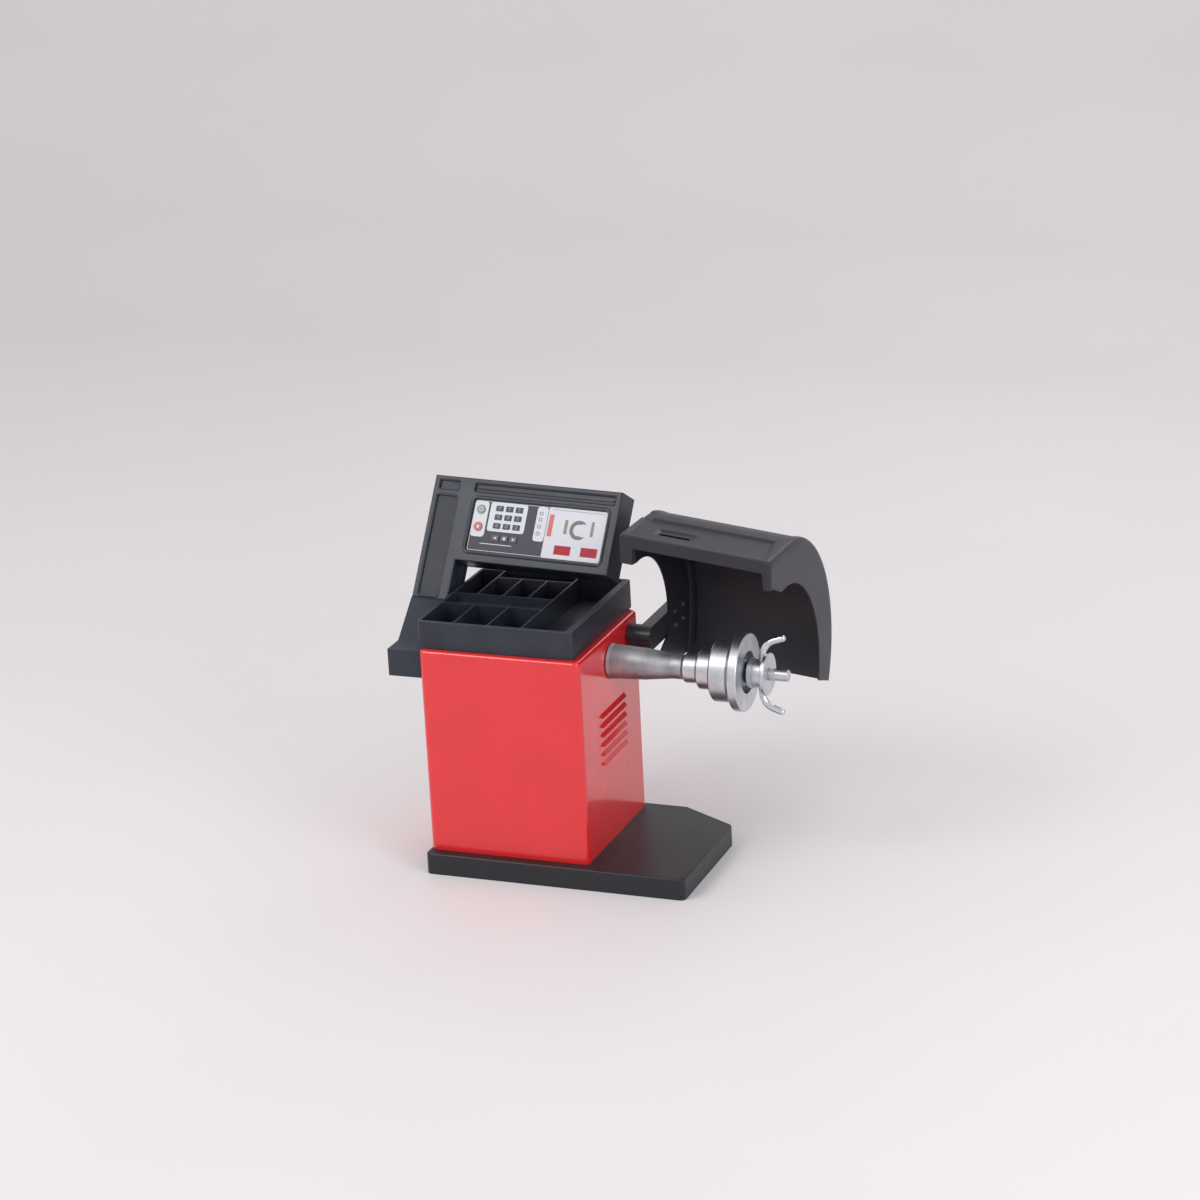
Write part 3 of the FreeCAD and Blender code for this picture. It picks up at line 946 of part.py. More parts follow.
foot = joined([foot_box(0.0, 0.0), flare(0.0)])
foot = foot.cut(foot_box(FOOT_WALL, FOOT_WALL)).cut(flare(FOOT_WALL))
write("console_foot", foot)
post_low = -COLUMN_DROP - 60.0
post_tube = box(post_x - POST_WIDTH / 2, post_x + POST_WIDTH / 2, 34.0, 34.0 + POST_DEPTH, post_low, HEAD_HEIGHT - 30.0)
post_tube = post_tube.cut(box(post_x - POST_WIDTH / 2 + POST_WALL, post_x + POST_WIDTH / 2 - POST_WALL,
                              34.0 + POST_WALL, 34.0 + POST_DEPTH - POST_WALL, post_low, HEAD_HEIGHT - 30.0))
write("console_post", placed(post_tube))

# ---------------------------------------------------------------- wheel guard
def hood_contour(x, dz, inset):
    """The guard's outer line in a plane at x: front lip, flat roof and round back, drawn in by an inset."""
    cy, cz, r = HOOD_ARC_Y, HOOD_ARC_Z + dz, HOOD_R - inset
    top, side, low = math.radians(90), math.radians(35), math.radians(HOOD_ARC_END)
    lip_top = V(x, HOOD_LIP_Y + inset, HOOD_LIP_Z + dz - inset)
    arc = [V(x, cy + r * math.cos(a), cz + r * math.sin(a)) for a in (top, side, low)]
    return lip_top, arc


def skin(inset_out, inset_in, drop):
    dz = 0.0
    lip_out, arc_out = hood_contour(HOOD_X1, dz, inset_out)
    lip_in, arc_in = hood_contour(HOOD_X1, dz, inset_in)
    foot_out = V(HOOD_X1, lip_out.y, HOOD_LIP_Z - drop)
    foot_in = V(HOOD_X1, lip_in.y, HOOD_LIP_Z - drop)
    wire = Part.Wire([Part.makeLine(foot_out, lip_out), Part.makeLine(lip_out, arc_out[0]),
                      Part.Arc(*arc_out).toShape(), Part.makeLine(arc_out[2], arc_in[2]),
                      Part.Arc(*arc_in[::-1]).toShape(), Part.makeLine(arc_in[0], lip_in),
                      Part.makeLine(lip_in, foot_in), Part.makeLine(foot_in, foot_out)])
    return Part.Face(wire).extrude(V(HOOD_X0 - HOOD_X1, 0, HOOD_DROOP))


def end_wall(x, dz, mouth_y, mouth_z, mouth_r, mouth_end, toe_place):
    """An end wall: the contour closed at its toe, less the round mouth, what is before the toe and all below its tab."""
    lip, arc = hood_contour(x, dz, HOOD_WALL / 2)
    toe = V(x, *toe_place)
    tab = V(x, lip.y, toe.z)
    wire = Part.Wire([Part.makeLine(tab, lip), Part.makeLine(lip, arc[0]), Part.Arc(*arc).toShape(),
                      Part.makeLine(arc[2], toe), Part.makeLine(toe, tab)])
    wall = Part.Face(wire).extrude(V(HOOD_END_WALL, 0, 0))
    wall = wall.cut(rod(mouth_r, x - 1.0, x + HOOD_END_WALL + 1.0, mouth_y, mouth_z))
    angle, through = math.radians(mouth_end), V(HOOD_END_WALL + 2.0, 0, 0)
    before_toe = [V(x - 1.0, mouth_y + mouth_r * math.cos(angle), mouth_z + mouth_r * math.sin(angle)),
                  V(x - 1.0, toe.y, toe.z), V(x - 1.0, toe.y, toe.z - 20.0), V(x - 1.0, lip.y - 20.0, toe.z - 20.0),
                  V(x - 1.0, lip.y - 20.0, mouth_z), V(x - 1.0, mouth_y, mouth_z)]
    wall = wall.cut(face(before_toe).extrude(through))
    mouth_front = mouth_y - 0.1 * mouth_r
    mouth_top = mouth_z + math.sqrt(mouth_r ** 2 - (mouth_front - mouth_y) ** 2)
    tab_z = lip.z - TAB_DROP
    below = [V(x - 1.0, lip.y - 20.0, tab_z + 3.0), V(x - 1.0, mouth_front, mouth_top),
             V(x - 1.0, mouth_front, toe.z - 20.0), V(x - 1.0, lip.y - 20.0, toe.z - 20.0)]
    return wall.cut(face(below).extrude(through))


def front_bar(x, dz, length, drop):
    """A bar along the front lip, or a tab below it, that follows the roof's slope."""
    y0, y1, top = HOOD_LIP_Y, HOOD_LIP_Y + HOOD_LIP_DEPTH, HOOD_LIP_Z + dz
    section = face([V(x, y0, top - drop), V(x, y1, top - drop), V(x, y1, top - HOOD_WALL / 2), V(x, y0, top)])
    return section.extrude(V(length, 0, -length * HOOD_DROOP / (HOOD_X1 - HOOD_X0)))


hood = skin(0.0, HOOD_WALL, HOOD_LIP_DROP)
grip = rounded_box(GRIP_X, GRIP_X + GRIP_LENGTH, GRIP_Y - GRIP_WIDTH / 2, GRIP_Y + GRIP_WIDTH / 2,
                   HOOD_LIP_Z - 40.0, HOOD_LIP_Z + HOOD_DROOP + 40.0, GRIP_WIDTH / 2 - 1.0)
hood = hood.cut(grip)
hood = joined([hood, front_bar(HOOD_X0, HOOD_DROOP, HOOD_X1 - HOOD_X0, HOOD_LIP_DROP),
               front_bar(HOOD_X1, 0.0, -OUTER_TAB_WIDTH, TAB_DROP),
               front_bar(HOOD_X0, HOOD_DROOP, INNER_TAB_WIDTH, TAB_DROP),
               end_wall(HOOD_X1 - HOOD_END_WALL, 0.0, OUTER_MOUTH_Y, OUTER_MOUTH_Z, OUTER_MOUTH_R,
                        OUTER_MOUTH_END, OUTER_TOE),
               end_wall(HOOD_X0, HOOD_DROOP, INNER_MOUTH_Y, INNER_MOUTH_Z, INNER_MOUTH_R,
                        INNER_MOUTH_END, INNER_TOE)])

arm_x0, arm_x1 = HOOD_X0 - ARM_WIDTH, HOOD_X0
arm_bar = box(arm_x0, arm_x1, PIVOT_Y, ARM_BACK_Y, PIVOT_Z - ARM_BOSS_R, PIVOT_Z + ARM_BOSS_R).cut(
    box(arm_x0 + ARM_WALL, arm_x1 - ARM_WALL, PIVOT_Y, ARM_BACK_Y - ARM_WALL, PIVOT_Z - ARM_BOSS_R + ARM_WALL,
        PIVOT_Z + ARM_BOSS_R - ARM_WALL))
boss = rod(ARM_BOSS_R, ARM_INNER_X, arm_x1, PIVOT_Y, PIVOT_Z)
hood_arm = joined([arm_bar, boss]).cut(rod(PIVOT_R, ARM_INNER_X, arm_x1 - ARM_WALL, PIVOT_Y, PIVOT_Z))
hood_screws = []
for y in (ARM_BACK_Y - 110.0, ARM_BACK_Y - 30.0):
    for z in (PIVOT_Z - 24.0, PIVOT_Z + 24.0):
        hole = rod(4.0 + SCREW_CLEARANCE, arm_x1 - ARM_WALL, HOOD_X0 + HOOD_END_WALL, y, z)
        hood = hood.cut(hole)
        hood_arm = hood_arm.cut(hole)
        hood_screws.append(joined([rod(4.0, arm_x1 - 8.0, HOOD_X0 + HOOD_END_WALL, y, z),
                                   rod(8.0, HOOD_X0 + HOOD_END_WALL, HOOD_X0 + HOOD_END_WALL + 4.0, y, z)]))
write("hood_shell", hood)
write("hood_arm", hood_arm)
write("hood_bolts", *hood_screws)

pivot_tube = rod(PIVOT_R, PIVOT_INNER_X, arm_x1 - ARM_WALL, PIVOT_Y, PIVOT_Z).cut(
    rod(PIVOT_R - PIVOT_WALL, PIVOT_INNER_X, arm_x1 - ARM_WALL, PIVOT_Y, PIVOT_Z))
write("hood_pivot_shaft", pivot_tube)
bush_r = PIVOT_R + BUSH_WALL
sleeve_x0 = PIVOT_INNER_X + 30.0
bracket = joined([rod(bush_r + 6.0, sleeve_x0, WALL_X, PIVOT_Y, PIVOT_Z),
                  box(WALL_X - 8.0, WALL_X, PIVOT_Y - 52.0, PIVOT_Y + 52.0, PIVOT_Z - 60.0, PIVOT_Z + 52.0)])
bracket = bracket.cut(rod(bush_r, sleeve_x0, WALL_X, PIVOT_Y, PIVOT_Z))
bushes = [rod(bush_r, x, x + BUSH_LENGTH, PIVOT_Y, PIVOT_Z).cut(
    rod(PIVOT_R + FIT_CLEARANCE, x, x + BUSH_LENGTH, PIVOT_Y, PIVOT_Z)) for x in (sleeve_x0, WALL_X - BUSH_LENGTH)]
write("pivot_bushes", *bushes)

# stop collar: its lug runs between two pins of the bracket
collar_x0, collar_x1 = PIVOT_INNER_X + 4.0, PIVOT_INNER_X + 20.0
lug = box(collar_x0, collar_x1, PIVOT_Y - 6.0, PIVOT_Y + 6.0, PIVOT_Z - STOP_R, PIVOT_Z)
collar = joined([rod(PIVOT_R + COLLAR_WALL, collar_x0, collar_x1, PIVOT_Y, PIVOT_Z), lug]).cut(
    rod(PIVOT_R, collar_x0, collar_x1, PIVOT_Y, PIVOT_Z))
write("stop_collar", collar)
pin_circle = STOP_R - STOP_PIN_R
lug_angle = math.degrees(math.asin((6.0 + STOP_PIN_R + RUN_GAP) / pin_circle))
stop_pins = []
for angle in (-90.0 - lug_angle, -90.0 + HOOD_SWING + lug_angle):
    y = PIVOT_Y + pin_circle * math.cos(math.radians(angle))
    z = PIVOT_Z + pin_circle * math.sin(math.radians(angle))
    stop_pins.append(rod(STOP_PIN_R, collar_x0, sleeve_x0 + 6.0, y, z))
bracket = joined([bracket] + stop_pins)
bracket = bracket.cut(rod(bush_r, sleeve_x0, WALL_X, PIVOT_Y, PIVOT_Z))
write("pivot_bracket", bracket)
switch = joined([box(sleeve_x0 - 14.0, sleeve_x0, PIVOT_Y + 44.0, PIVOT_Y + 56.0, PIVOT_Z - 14.0, PIVOT_Z + 14.0),
                 box(sleeve_x0, WALL_X - 8.0, PIVOT_Y + 44.0, PIVOT_Y + 48.0, PIVOT_Z - 14.0, PIVOT_Z + 14.0)])
write("pivot_switch", switch)
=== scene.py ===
import bpy
import bmesh
import math
import numpy as np
from mathutils import Matrix, Vector


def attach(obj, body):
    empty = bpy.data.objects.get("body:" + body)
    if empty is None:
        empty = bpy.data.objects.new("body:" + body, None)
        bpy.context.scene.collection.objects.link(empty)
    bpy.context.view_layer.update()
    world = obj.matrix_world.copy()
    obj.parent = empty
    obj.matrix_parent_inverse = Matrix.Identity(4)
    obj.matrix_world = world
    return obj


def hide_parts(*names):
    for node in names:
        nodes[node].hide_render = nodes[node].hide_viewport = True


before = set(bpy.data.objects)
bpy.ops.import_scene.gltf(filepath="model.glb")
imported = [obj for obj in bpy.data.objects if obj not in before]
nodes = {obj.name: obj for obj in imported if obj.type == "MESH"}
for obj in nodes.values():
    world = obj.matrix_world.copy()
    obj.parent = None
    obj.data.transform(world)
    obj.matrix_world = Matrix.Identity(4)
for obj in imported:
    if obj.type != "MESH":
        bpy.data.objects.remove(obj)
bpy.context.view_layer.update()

scene = bpy.context.scene


# ---- Camera -----------------------------------------------------------------
# A long lens, raised and a little to the right of the operator's side,
# with a slight roll.
EYE = Vector((4.2184, -10.3101, 4.6977))
AZIMUTH, ELEVATION, ROLL = (math.radians(a) for a in (21.79954, 18.87239, -2.93074))
LENS_MM, SENSOR_MM, FAR_CLIP = 108.0, 36.0, 60.0
ahead = Vector((-math.sin(AZIMUTH) * math.cos(ELEVATION),
                math.cos(AZIMUTH) * math.cos(ELEVATION),
                -math.sin(ELEVATION)))
level = ahead.cross(Vector((0, 0, 1))).normalized()
upright = level.cross(ahead)
right = level * math.cos(ROLL) + upright * math.sin(ROLL)
up = upright * math.cos(ROLL) - level * math.sin(ROLL)
camera = bpy.data.objects.new("camera", bpy.data.cameras.new("camera"))
camera.data.lens, camera.data.sensor_width, camera.data.clip_end = LENS_MM, SENSOR_MM, FAR_CLIP
camera.matrix_world = Matrix.Translation(EYE) @ Matrix((right, up, -ahead)).transposed().to_4x4()
scene.collection.objects.link(camera)
scene.camera = camera


# ---- Studio: floor and lights ---------------------------------------------------
# A pale matt sweep, a broad soft key light up on the left, a wide fill
# from the right and a low even glow from all round.
def tone(code):
    """A colour's sRGB hex code as linear red, green, blue and full opacity."""
    parts = [int(code[i:i + 2], 16) / 255 for i in (1, 3, 5)]
    return (*[c / 12.92 if c <= 0.04045 else ((c + 0.055) / 1.055) ** 2.4 for c in parts], 1.0)


def add(tree, kind, inputs=None, **settings):
    """A new node with its settings, and its inputs set to values or linked from other outputs."""
    node = tree.nodes.new(kind)
    for name, value in settings.items():
        setattr(node, name, value)
    for name, value in (inputs or {}).items():
        if isinstance(value, bpy.types.NodeSocket):
            tree.links.new(value, node.inputs[name])
        else:
            node.inputs[name].default_value = value
    return node


def new_material(name):
    """An empty node material with its shader and output joined."""
    material = bpy.data.materials.new(name)
    material.use_nodes = True
    tree = material.node_tree
    tree.nodes.clear()
    shader = add(tree, "ShaderNodeBsdfPrincipled")
    add(tree, "ShaderNodeOutputMaterial", {"Surface": shader.outputs[0]})
    return material, tree, shader


def mesh_piece(name, points, faces, smooth_angle=35.0):
    """An object from an array of points and a list of faces, smooth except over sharp edges."""
    mesh = bpy.data.meshes.new(name)
    mesh.from_pydata(points, [], faces)
    mesh.update()
    mesh.shade_smooth()
    mesh.set_sharp_from_angle(angle=math.radians(smooth_angle))
    piece = bpy.data.objects.new(name, mesh)
    scene.collection.objects.link(piece)
    return piece


sweep_run = np.array([(-40.0, 0.0), (6.0, 0.0), (7.5, 0.25), (8.6, 1.0), (9.2, 2.2), (9.4, 9.0)])
sweep_x = np.array([-40.0, 40.0])
sweep_points = [(x, y, z) for x in sweep_x for y, z in sweep_run]
count = len(sweep_run)
sweep = mesh_piece("studio_sweep", sweep_points,
                   [(i, i + count, i + count + 1, i + 1) for i in range(count - 1)], 80.0)
studio_paper, tree, shader = new_material("studio_paper")
place = add(tree, "ShaderNodeTexCoord").outputs["Object"]
mottle = add(tree, "ShaderNodeTexNoise", {"Vector": place, "Scale": 0.7, "Detail": 3.0})
tint = add(tree, "ShaderNodeMix",
           {"Factor": mottle.outputs["Fac"], "A": tone("#DDDADB"), "B": tone("#E3E0E1")},
           data_type="RGBA")
tree.links.new(tint.outputs["Result"], shader.inputs["Base Color"])
shader.inputs["Roughness"].default_value = 0.55
sweep.data.materials.append(studio_paper)

for name, where, aim, size, power, tint_code in (
        ("key_light", (-4.2, -4.6, 6.4), (0.1, 0.0, 0.5), 4.2, 240.0, "#FFFDFB"),
        ("fill_light", (6.5, -3.5, 3.6), (0.2, 0.0, 0.6), 4.5, 175.0, "#F6F9FF"),
        ("back_light", (1.5, 5.5, 5.0), (0.1, 0.0, 0.8), 3.0, 60.0, "#FFFFFF")):
    lamp = bpy.data.lights.new(name, "AREA")
    lamp.shape, lamp.size, lamp.energy, lamp.color = "DISK", size, power, tone(tint_code)[:3]
    light = bpy.data.objects.new(name, lamp)
    facing = (Vector(aim) - Vector(where)).to_track_quat("-Z", "Y")
    light.matrix_world = Matrix.Translation(where) @ facing.to_matrix().to_4x4()
    scene.collection.objects.link(light)
world = scene.world or bpy.data.worlds.new("studio")
scene.world = world
world.use_nodes = True
world.node_tree.nodes["Background"].inputs["Color"].default_value = tone("#E9E8EA")
world.node_tree.nodes["Background"].inputs["Strength"].default_value = 0.93
scene.view_settings.view_transform = "Standard"


# ---- Foot plate -----------------------------------------------------------------
# A pressed steel pan with a turned-down rim and three channels welded under it,
# sprayed satin black, scuffed where people stand.
def wear(material, *names):
    """Give CAD nodes a material in all of their slots."""
    for name in names:
        for slot in nodes[name].material_slots:
            slot.material = material


def painted_steel(name, code, worn_code, roughness, coat, peel_mm, peel_depth):
    """Sprayed steel: a faintly cloudy base colour, an orange-peel bump and a clear top coat."""
    material, tree, shader = new_material(name)
    place = add(tree, "ShaderNodeTexCoord").outputs["Object"]
    cloud = add(tree, "ShaderNodeTexNoise",
                {"Vector": place, "Scale": 5.0, "Detail": 4.0, "Roughness": 0.55})
    spread = add(tree, "ShaderNodeMapRange",
                 {"Value": cloud.outputs["Fac"], "From Min": 0.35, "From Max": 0.7})
    colour = add(tree, "ShaderNodeMix",
                 {"Factor": spread.outputs[0], "A": tone(code), "B": tone(worn_code)},
                 data_type="RGBA")
    peel = add(tree, "ShaderNodeTexNoise",
               {"Vector": place, "Scale": 1000.0 / peel_mm, "Detail": 2.0})
    bump = add(tree, "ShaderNodeBump",
               {"Height": peel.outputs["Fac"], "Distance": peel_depth, "Strength": 0.6})
    rough = add(tree, "ShaderNodeMapRange",
                {"Value": cloud.outputs["Fac"], "To Min": roughness - 0.06,
                 "To Max": roughness + 0.08})
    tree.links.new(colour.outputs["Result"], shader.inputs["Base Color"])
    tree.links.new(bump.outputs[0], shader.inputs["Normal"])
    tree.links.new(rough.outputs[0], shader.inputs["Roughness"])
    shader.inputs["Coat Weight"].default_value = coat
    shader.inputs["Coat Roughness"].default_value = 0.09
    return material


def softened(name, node, body, material, edge):
    """A copy of a CAD node, with flat faces joined and sharp edges rounded, that stands for it."""
    shell = bmesh.new()
    shell.from_mesh(nodes[node].data)
    bmesh.ops.remove_doubles(shell, verts=shell.verts, dist=1e-6)
    bmesh.ops.dissolve_limit(shell, angle_limit=math.radians(0.5), verts=shell.verts,
                             edges=shell.edges)
    bmesh.ops.recalc_face_normals(shell, faces=shell.faces)
    mesh = bpy.data.meshes.new(name)
    shell.to_mesh(mesh)
    shell.free()
    mesh.materials.append(material)
    mesh.shade_smooth()
    mesh.set_sharp_from_angle(angle=math.radians(35.0))
    piece = bpy.data.objects.new(name, mesh)
    scene.collection.objects.link(piece)
    bevel = piece.modifiers.new("rounded_edges", "BEVEL")
    bevel.width, bevel.segments = edge, 3
    bevel.limit_method, bevel.angle_limit = "ANGLE", math.radians(40.0)
    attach(piece, body)
    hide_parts(node)
    return piece


# Satin black paint: dark blue-grey where light skims it, with soft broad highlights.
base_black = painted_steel("satin_black_paint", "#101219", "#161920", 0.42, 0.1, 9.0, 0.0006)
wear(base_black, "base_pan", "base_ribs")


# ---- Cabinet ----------------------------------------------------------------------
# A folded and welded sheet steel body and a screwed-on rear cover, sprayed gloss
# red. The right side has six pressed louvres; the cover has two rows of slots.
cabinet_red = painted_steel("gloss_red_enamel", "#E0181F", "#DA151D", 0.28, 0.85, 12.0, 0.0002)
wear(cabinet_red, "cabinet_shell", "rear_cover")


def plated_steel(name, code, roughness, grain_mm):
    """Zinc-plated or ground steel: metal with fine blotches in its colour and roughness."""
    material, tree, shader = new_material(name)
    place = add(tree, "ShaderNodeTexCoord").outputs["Object"]
    grain = add(tree, "ShaderNodeTexNoise",
                {"Vector": place, "Scale": 1000.0 / grain_mm, "Detail": 3.0})
    shade = add(tree, "ShaderNodeMapRange",
                {"Value": grain.outputs["Fac"], "To Min": 0.86, "To Max": 1.05})
    colour = add(tree, "ShaderNodeVectorMath", {0: tone(code)[:3], "Scale": shade.outputs[0]},
                 operation="SCALE")
    rough = add(tree, "ShaderNodeMapRange",
                {"Value": grain.outputs["Fac"], "To Min": roughness - 0.07,
                 "To Max": roughness + 0.1})
    bump = add(tree, "ShaderNodeBump",
               {"Height": grain.outputs["Fac"], "Distance": 0.0002, "Strength": 0.4})
    tree.links.new(colour.outputs[0], shader.inputs["Base Color"])
    tree.links.new(rough.outputs[0], shader.inputs["Roughness"])
    tree.links.new(bump.outputs[0], shader.inputs["Normal"])
    shader.inputs["Metallic"].default_value = 1.0
    return material


# Bright zinc plate: slightly blue, blotched silver.
zinc_plate = plated_steel("bright_zinc_plate", "#B9BDC4", 0.32, 6.0)
wear(zinc_plate, "rear_cover_screws", "frame_bolts", "console_screws", "hood_bolts")


# ---- Weight tray --------------------------------------------------------------------
# One vacuum-formed black plastic moulding with bins for weights and tools,
# fine-grained outside, a little greyer on its handled edges.
def moulded_plastic(name, code, edge_code, roughness, grain_mm, depth):
    """Moulded plastic: leather-like grain from a cell pattern, and faint broad greyer patches."""
    material, tree, shader = new_material(name)
    place = add(tree, "ShaderNodeTexCoord").outputs["Object"]
    cloud = add(tree, "ShaderNodeTexNoise",
                {"Vector": place, "Scale": 9.0, "Detail": 5.0, "Roughness": 0.6})
    cells = add(tree, "ShaderNodeTexVoronoi", {"Vector": place, "Scale": 1000.0 / grain_mm},
                feature="SMOOTH_F1")
    fine = add(tree, "ShaderNodeTexNoise",
               {"Vector": place, "Scale": 2500.0 / grain_mm, "Detail": 2.0})
    height = add(tree, "ShaderNodeMath", {0: cells.outputs["Distance"], 1: fine.outputs["Fac"]},
                 operation="ADD")
    spread = add(tree, "ShaderNodeMapRange",
                 {"Value": cloud.outputs["Fac"], "From Min": 0.38, "From Max": 0.72})
    colour = add(tree, "ShaderNodeMix",
                 {"Factor": spread.outputs[0], "A": tone(code), "B": tone(edge_code)},
                 data_type="RGBA")
    rough = add(tree, "ShaderNodeMapRange",
                {"Value": cloud.outputs["Fac"], "To Min": roughness - 0.08,
                 "To Max": roughness + 0.08})
    bump = add(tree, "ShaderNodeBump",
               {"Height": height.outputs[0], "Distance": depth, "Strength": 0.5})
    tree.links.new(colour.outputs["Result"], shader.inputs["Base Color"])
    tree.links.new(rough.outputs[0], shader.inputs["Roughness"])
    tree.links.new(bump.outputs[0], shader.inputs["Normal"])
    return material


# The same ABS as the console, a little darker.
tray_abs = moulded_plastic("grained_black_abs", "#1E222C", "#2A2E3A", 0.42, 5.0, 0.0006)
softened("weight_tray_moulding", "weight_tray", "machine", tray_abs, 0.0018)


# ---- Spindle frame and suspension ---------------------------------------------------
# A welded box column bolted to the foot plate, with spring plates that carry the
# housing and two force sensors beside it. Dark grey primer, bare spring steel.
# Matt primer, dull all over; the springs and turned parts are bare steel and catch the light.
frame_primer = painted_steel("dark_grey_primer", "#3A3D42", "#44474C", 0.55, 0.0, 8.0, 0.0004)
wear(frame_primer, "spindle_frame", "housing_saddle", "motor_bracket", "pivot_bracket",
     "console_post")
spring_steel = plated_steel("ground_spring_steel", "#8E9197", 0.35, 4.0)
wear(spring_steel, "flexure_plates", "cone_spring")
turned_plain = plated_steel("plain_turned_steel", "#A5A8AD", 0.30, 3.0)
wear(turned_plain, "force_sensors", "bearing_cap", "hood_pivot_shaft", "stop_collar",
     "encoder_disc")


# ---- Spindle housing ------------------------------------------------------------------
# A long cast tube that tapers to its nose, painted silver over the casting skin.
SHAFT_Y, SHAFT_Z = 0.029, 0.682


def round_metal(name, code, dark_code, roughness, ring_mm, ring_depth, cast_mm, cast_depth):
    """Metal about the spindle: tool rings by the place along and out from it, and a cast skin."""
    material, tree, shader = new_material(name)
    place = add(tree, "ShaderNodeTexCoord").outputs["Object"]
    parts = add(tree, "ShaderNodeSeparateXYZ", {0: place})
    y = add(tree, "ShaderNodeMath", {0: parts.outputs[1], 1: SHAFT_Y}, operation="SUBTRACT")
    z = add(tree, "ShaderNodeMath", {0: parts.outputs[2], 1: SHAFT_Z}, operation="SUBTRACT")
    y2 = add(tree, "ShaderNodeMath", {0: y.outputs[0], 1: 2.0}, operation="POWER")
    z2 = add(tree, "ShaderNodeMath", {0: z.outputs[0], 1: 2.0}, operation="POWER")
    total = add(tree, "ShaderNodeMath", {0: y2.outputs[0], 1: z2.outputs[0]}, operation="ADD")
    radius = add(tree, "ShaderNodeMath", {0: total.outputs[0]}, operation="SQRT")
    line = add(tree, "ShaderNodeCombineXYZ", {0: parts.outputs[0], 1: radius.outputs[0]})
    rings = add(tree, "ShaderNodeTexNoise",
                {"Vector": line.outputs[0], "Scale": 1000.0 / ring_mm, "Detail": 3.0,
                 "Roughness": 0.7})
    skin = add(tree, "ShaderNodeTexNoise",
               {"Vector": place, "Scale": 1000.0 / cast_mm, "Detail": 4.0})
    patches = add(tree, "ShaderNodeTexNoise", {"Vector": place, "Scale": 22.0, "Detail": 3.0})
    spread = add(tree, "ShaderNodeMapRange",
                 {"Value": patches.outputs["Fac"], "From Min": 0.35, "From Max": 0.7})
    colour = add(tree, "ShaderNodeMix",
                 {"Factor": spread.outputs[0], "A": tone(code), "B": tone(dark_code)},
                 data_type="RGBA")
    rough = add(tree, "ShaderNodeMapRange",
                {"Value": rings.outputs["Fac"], "To Min": roughness - 0.1,
                 "To Max": roughness + 0.12})
    ring_bump = add(tree, "ShaderNodeBump", {"Height": rings.outputs["Fac"], "Distance": ring_depth,
                                             "Strength": 0.5})
    bump = add(tree, "ShaderNodeBump",
               {"Height": skin.outputs["Fac"], "Distance": cast_depth, "Strength": 0.6,
                "Normal": ring_bump.outputs[0]})
    tree.links.new(colour.outputs["Result"], shader.inputs["Base Color"])
    tree.links.new(rough.outputs[0], shader.inputs["Roughness"])
    tree.links.new(bump.outputs[0], shader.inputs["Normal"])
    shader.inputs["Metallic"].default_value = 1.0
    return material


# Cast aluminium under silver paint: soft grey sparkle over a lumpy skin.
cast_silver = round_metal("silver_cast_aluminium", "#B4B4B8", "#9A9A9F", 0.46, 30.0, 0.0001, 9.0,
                          0.0009)
wear(cast_silver, "spindle_housing")
bearing_steel = plated_steel("ground_bearing_steel", "#B4B7BC", 0.18, 3.0)
wear(bearing_steel, "bearing_outer_rings", "bearing_inner_rings", "bearing_balls", "motor_shaft")


# ---- Spindle shaft, hub and cone ---------------------------------------------------------
# A ground 40 mm shaft, a stepped hub turned from cast aluminium, and a hardened
# centring cone that a spring pushes out of the hub's recess.
# Ground and turned metal: bright, with fine rings that draw out each highlight.
shaft_steel = round_metal("ground_shaft_steel", "#CFD1D5", "#BBBDC2", 0.28, 1.6, 0.00003, 6.0,
                          0.00006)
wear(shaft_steel, "spindle_shaft")
hub_metal = round_metal("turned_cast_aluminium", "#D6D8DC", "#C0C3C8", 0.34, 2.2, 0.00005, 8.0,
                        0.0003)
wear(hub_metal, "hub_flange", "pressure_cup")
cone_steel = round_metal("hardened_cone_steel", "#96999F", "#7D8086", 0.30, 1.8, 0.0001, 7.0,
                         0.0001)
wear(cone_steel, "centring_cone")
pulley_metal = round_metal("turned_pulley_aluminium", "#AEB1B6", "#989BA1", 0.33, 2.0, 0.0001, 7.0,
                           0.0001)
wear(pulley_metal, "spindle_pulley", "motor_pulley")


# ---- Quick nut ------------------------------------------------------------------------------
# A cast nut with a round flange and two bent steel bars to turn it by.
# Bright casting and polished bar: the lightest metal on the machine.
nut_metal = round_metal("bright_cast_nut", "#D6D8DC", "#C2C4C9", 0.32, 2.6, 0.00005, 10.0, 0.0003)
wear(nut_metal, "quick_nut")
bar_steel = plated_steel("polished_steel_bar", "#D8DADE", 0.2, 14.0)
wear(bar_steel, "wing_handles")


# ---- Motor, belt and electrics -----------------------------------------------------------------
# Inside the cabinet: a grey motor, a ribbed rubber belt, boards, a transformer
# and the mains inlet with its rocker.
# Dull grey paint, matt rubber, nylon with a soft sheen and a dark green lacquered board.
motor_paint = painted_steel("grey_motor_paint", "#4A4F57", "#535861", 0.45, 0.1, 8.0, 0.0004)
wear(motor_paint, "motor_body")
belt_rubber = moulded_plastic("ribbed_belt_rubber", "#1B1B1C", "#242425", 0.7, 3.0, 0.0003)
wear(belt_rubber, "drive_belt")
black_nylon = moulded_plastic("black_nylon", "#17181A", "#1E1F22", 0.45, 2.0, 0.0001)
wear(black_nylon, "encoder_sensor", "power_inlet", "pivot_switch")
board_green = moulded_plastic("green_circuit_board", "#15563A", "#1B6344", 0.35, 2.5, 0.0001)
wear(board_green, "power_board", "display_board")
core_iron = painted_steel("varnished_core_iron", "#33302E", "#3E3A37", 0.6, 0.1, 4.0, 0.0003)
wear(core_iron, "transformer")
